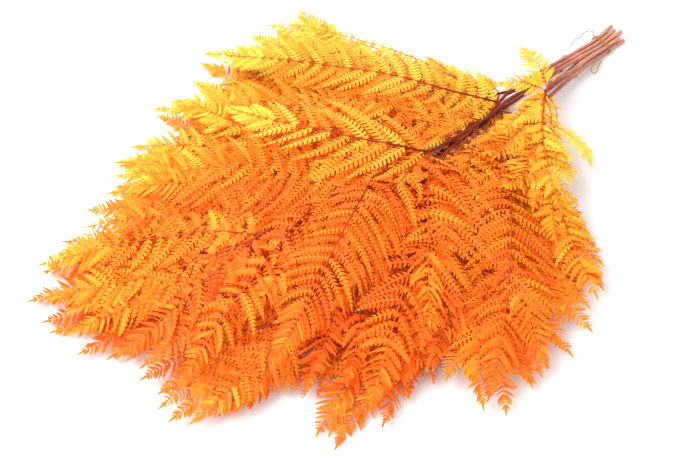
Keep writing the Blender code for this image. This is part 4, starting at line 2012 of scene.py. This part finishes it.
FRONDS = (
    FrondPlan(
        level=0, fork=(-240, 15), bend=(-345, 110), tip=(-490, 240), row=0, column=2, reach=(200, 225),
        rim=((-340, 286), (-362, 268), (-392, 262), (-419, 257), (-466, 244), (-489, 224),
             (-534, 199), (-543, 183), (-520, 214))),
    FrondPlan(
        level=1, fork=(-190, -12), bend=(-350, -92), tip=(-545, -168), row=0, column=0,
        reach=(200, 200),
        extra=(((-150, -6), (-185, 50), (-228, 112)), ((-135, -4), (-160, 30), (-182, 82)),
               ((-160, -8), (-180, -60), (-200, -128))),
        rim=((-577, -90), (-546, -146), (-508, -159), (-489, -180), (-449, -174), (-470, -160),
             (-600, -66))),
    FrondPlan(
        level=2, fork=(-270, 5), bend=(-460, 28), tip=(-672, 134), row=0, column=1, reach=(215, 225),
        rim=((-595, 197), (-612, 186), (-630, 178), (-660, 158), (-668, 118), (-659, 77),
             (-640, 52), (-627, 38))),
    FrondPlan(
        level=3, fork=(-250, -20), bend=(-430, -58), tip=(-638, -42), row=0, column=-1,
        reach=(200, 215),
        rim=((-637, -25), (-617, -42), (-632, 10), (-590, -76), (-560, -110))),
    FrondPlan(
        level=4, fork=(-215, -30), bend=(-290, -118), tip=(-398, -256), row=0, column=-2,
        reach=(215, 215),
        extra=(((-118, -19), (-132, -55), (-158, -108)), ((-142, -22), (-168, -66), (-190, -128)),
               ((-168, -26), (-210, -70), (-250, -140))),
        rim=((-416, -190), (-410, -237), (-366, -211), (-329, -244), (-304, -238), (-275, -224),
             (-253, -228), (-228, -232), (-206, -204), (-436, -176), (-196, -222), (-341, -246))),
    FrondPlan(
        level=5, fork=(-138, 9), bend=(-226, 62), tip=(-214, 258), row=1, column=1.5, reach=(215, 95),
        rim=((-189, 223), (-260, 267), (-279, 265), (-300, 262), (-320, 268), (-193, 197),
             (-240, 250))),
    FrondPlan(
        level=6, fork=(-148, 2), bend=(-280, -20), tip=(-450, -35), row=1, column=0.5,
        arms={(0, 1): ((-268, -152), (-408, -236)), (0, -1): ((-228, 132), (-342, 282)),
              (1, 1): ((-365, -82), (-500, -172)), (1, -1): ((-300, 128), (-432, 258))}),
    FrondPlan(
        level=7, fork=(-258, -8), bend=(-425, 6), tip=(-655, 92), row=1, column=-0.5,
        arms={(0, 1): ((-322, -62), (-400, -150)), (0, -1): ((-342, 52), (-378, 192)),
              (1, 1): ((-430, -45), (-566, -88)), (1, -1): ((-400, 72), (-490, 206)),
              (2, 1): ((-500, 2), (-612, -28)), (2, -1): ((-450, 96), (-560, 196)),
              (3, 1): ((-540, 34), (-640, 36)), (3, -1): ((-520, 118), (-634, 178))}),
    FrondPlan(
        level=8, fork=(-105, -22), bend=(-186, -66), tip=(-244, -228), row=1, column=-1.5,
        reach=(72, 85),
        arms={(0, 1): ((-50, -38), (-66, 60)), (0, -1): ((-170, -52), (-222, -96))},
        extra=(((-110, -25), (-124, -8), (-150, 14)), ((-134, -54), (-114, -82), (-136, -116))),
        fill_at=((0.05, 0), (0.1, 0), (0.16, 0), (0.28, 1), (0.34, 1), (0.46, 2), (0.6, 3)),
        fill_scale=1.25, rim_from=0.9, leafy_midrib=True),
)


@dataclass
class Studio:
    """A white table, soft light from above and the photograph's viewing angle.

    Attributes:
        looks_at: The place that the camera and the light look at.
        seen_between: The nearest and the farthest distance that the camera sees.
        sky: The strength of the white light from all round.
        key_at: The place of the main light.
        key_size: Its edge in metres.
        key_power: Its power in watts.
    """

    camera_at: Place = (-0.5945, -0.6127, 1.3121)
    looks_at: Place = (-0.0626, -0.0220, 0.040)
    lens: float = 77.14
    sensor: float = 36.0
    seen_between: Point = (0.05, 20.0)
    floor_half: float = 4.0
    floor_colour: str = "F7F7F7"
    floor_roughness: float = 0.8
    sky: float = 1.08
    key_at: Place = (-0.9, 0.9, 1.9)
    key_size: float = 1.3
    key_power: float = 42.0

    def aim(self, name: str, data: bpy.types.ID, at: Place) -> bpy.types.Object:
        """Put a camera or a light in its place and turn it to the bunch.

        Args:
            name: Its name.
            data: The camera's or the light's data.
            at: Its place in metres.

        Returns:
            The object.
        """
        made = linked(name, data)
        made.location = at
        way = Vector(self.looks_at) - Vector(at)
        made.rotation_euler = way.to_track_quat("-Z", "Y").to_euler()
        return made

    def camera(self) -> None:
        """Put the camera where the photograph was taken from."""
        data = bpy.data.cameras.new("camera")
        data.lens, data.sensor_width = self.lens, self.sensor
        data.clip_start, data.clip_end = self.seen_between
        bpy.context.scene.camera = self.aim("camera", data, self.camera_at)

    def key_light(self) -> None:
        """Hang the soft main light."""
        data = bpy.data.lights.new("key", "AREA")
        data.size, data.energy = self.key_size, self.key_power
        self.aim("key", data, self.key_at)

    def floor(self) -> None:
        """Lay the white floor."""
        bm = bmesh.new()
        bmesh.ops.create_grid(bm, x_segments=1, y_segments=1, size=self.floor_half)
        mesh = bpy.data.meshes.new("floor")
        bm.to_mesh(mesh)
        bm.free()
        made, _, shader = start_material("white_table")
        shader.inputs["Base Color"].default_value = linear(self.floor_colour)
        shader.inputs["Roughness"].default_value = self.floor_roughness
        mesh.materials.append(made)
        linked("floor", mesh)

    def build(self) -> None:
        """Set up the floor, the lights and the camera."""
        world = bpy.data.worlds.new("soft_room")
        world.use_nodes = True
        background = world.node_tree.nodes["Background"]
        background.inputs["Color"].default_value = linear("FFFFFF")
        background.inputs["Strength"].default_value = self.sky
        bpy.context.scene.world = world
        bpy.context.scene.view_settings.view_transform = "Standard"
        self.floor()
        self.key_light()
        self.camera()


@dataclass
class Bunch:
    """The whole bunch: nine fronds on their stalks, and the twine, each with its finish."""

    heap: Heap = field(default_factory=Heap)
    leaf: DyedLeaf = DyedLeaf()
    # the stalk's colours run from painted shade at the foliage end to the pale cut end, partly painted
    # light
    stalk: DriedStalk = DriedStalk("dried_fern_stalk", (
        (0.0, "6E2414"), (0.35, "96432E"), (0.7, "BA6E58"), (1.0, "CE8F79")), "6E2C1C")
    rib: DriedStalk = DriedStalk("dyed_fern_rib", (
        (0.0, "6E1C0A"), (0.35, "B03A10"), (0.7, "E0621A"), (1.0, "F58A2A")), "962C0C")
    cord: PlantTwine = PlantTwine()

    def dress(self, piece: bpy.types.Object, slot: Slot, *nodes: str) -> None:
        """Tie a piece to the frame.

        Args:
            piece: The finished piece.
            slot: The material slot of the piece; not used.
            nodes: The solids it stands for.
        """
        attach(piece, "root")
        if nodes:
            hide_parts(*nodes)
        LOG.info("%s: %d faces", piece.name, len(piece.data.polygons))

    def build(self) -> None:
        """Make every piece, the topmost frond first, and give it its finish."""
        leaf, stalk, rib = self.leaf.material(), self.stalk.material(), self.rib.material()
        stalks = [Stalk(plan, self.heap) for plan in FRONDS]
        shown = np.concatenate([each.course() for each in stalks[Spray.shown_stalks_from:]])
        cover = Cover()
        for each in reversed(stalks):
            number = each.plan.level + 1
            spray = Spray(each.plan, self.heap, cover, shown)
            self.dress(spray.build(leaf), Slot.FOLIAGE, f"frond_{number}")
            self.dress(Ribs(spray).build(rib), Slot.STALKS)
            self.dress(each.build(stalk), Slot.STALKS, f"stem_{number}")
        self.dress(Twine(stalks).build(self.cord.material()), Slot.TWINE, "twine")


def main() -> None:
    """Build the bunch and its studio."""
    logging.basicConfig(level=logging.INFO, format="%(message)s")
    Bunch().build()
    Studio().build()


if __name__ == "__main__":
    main()
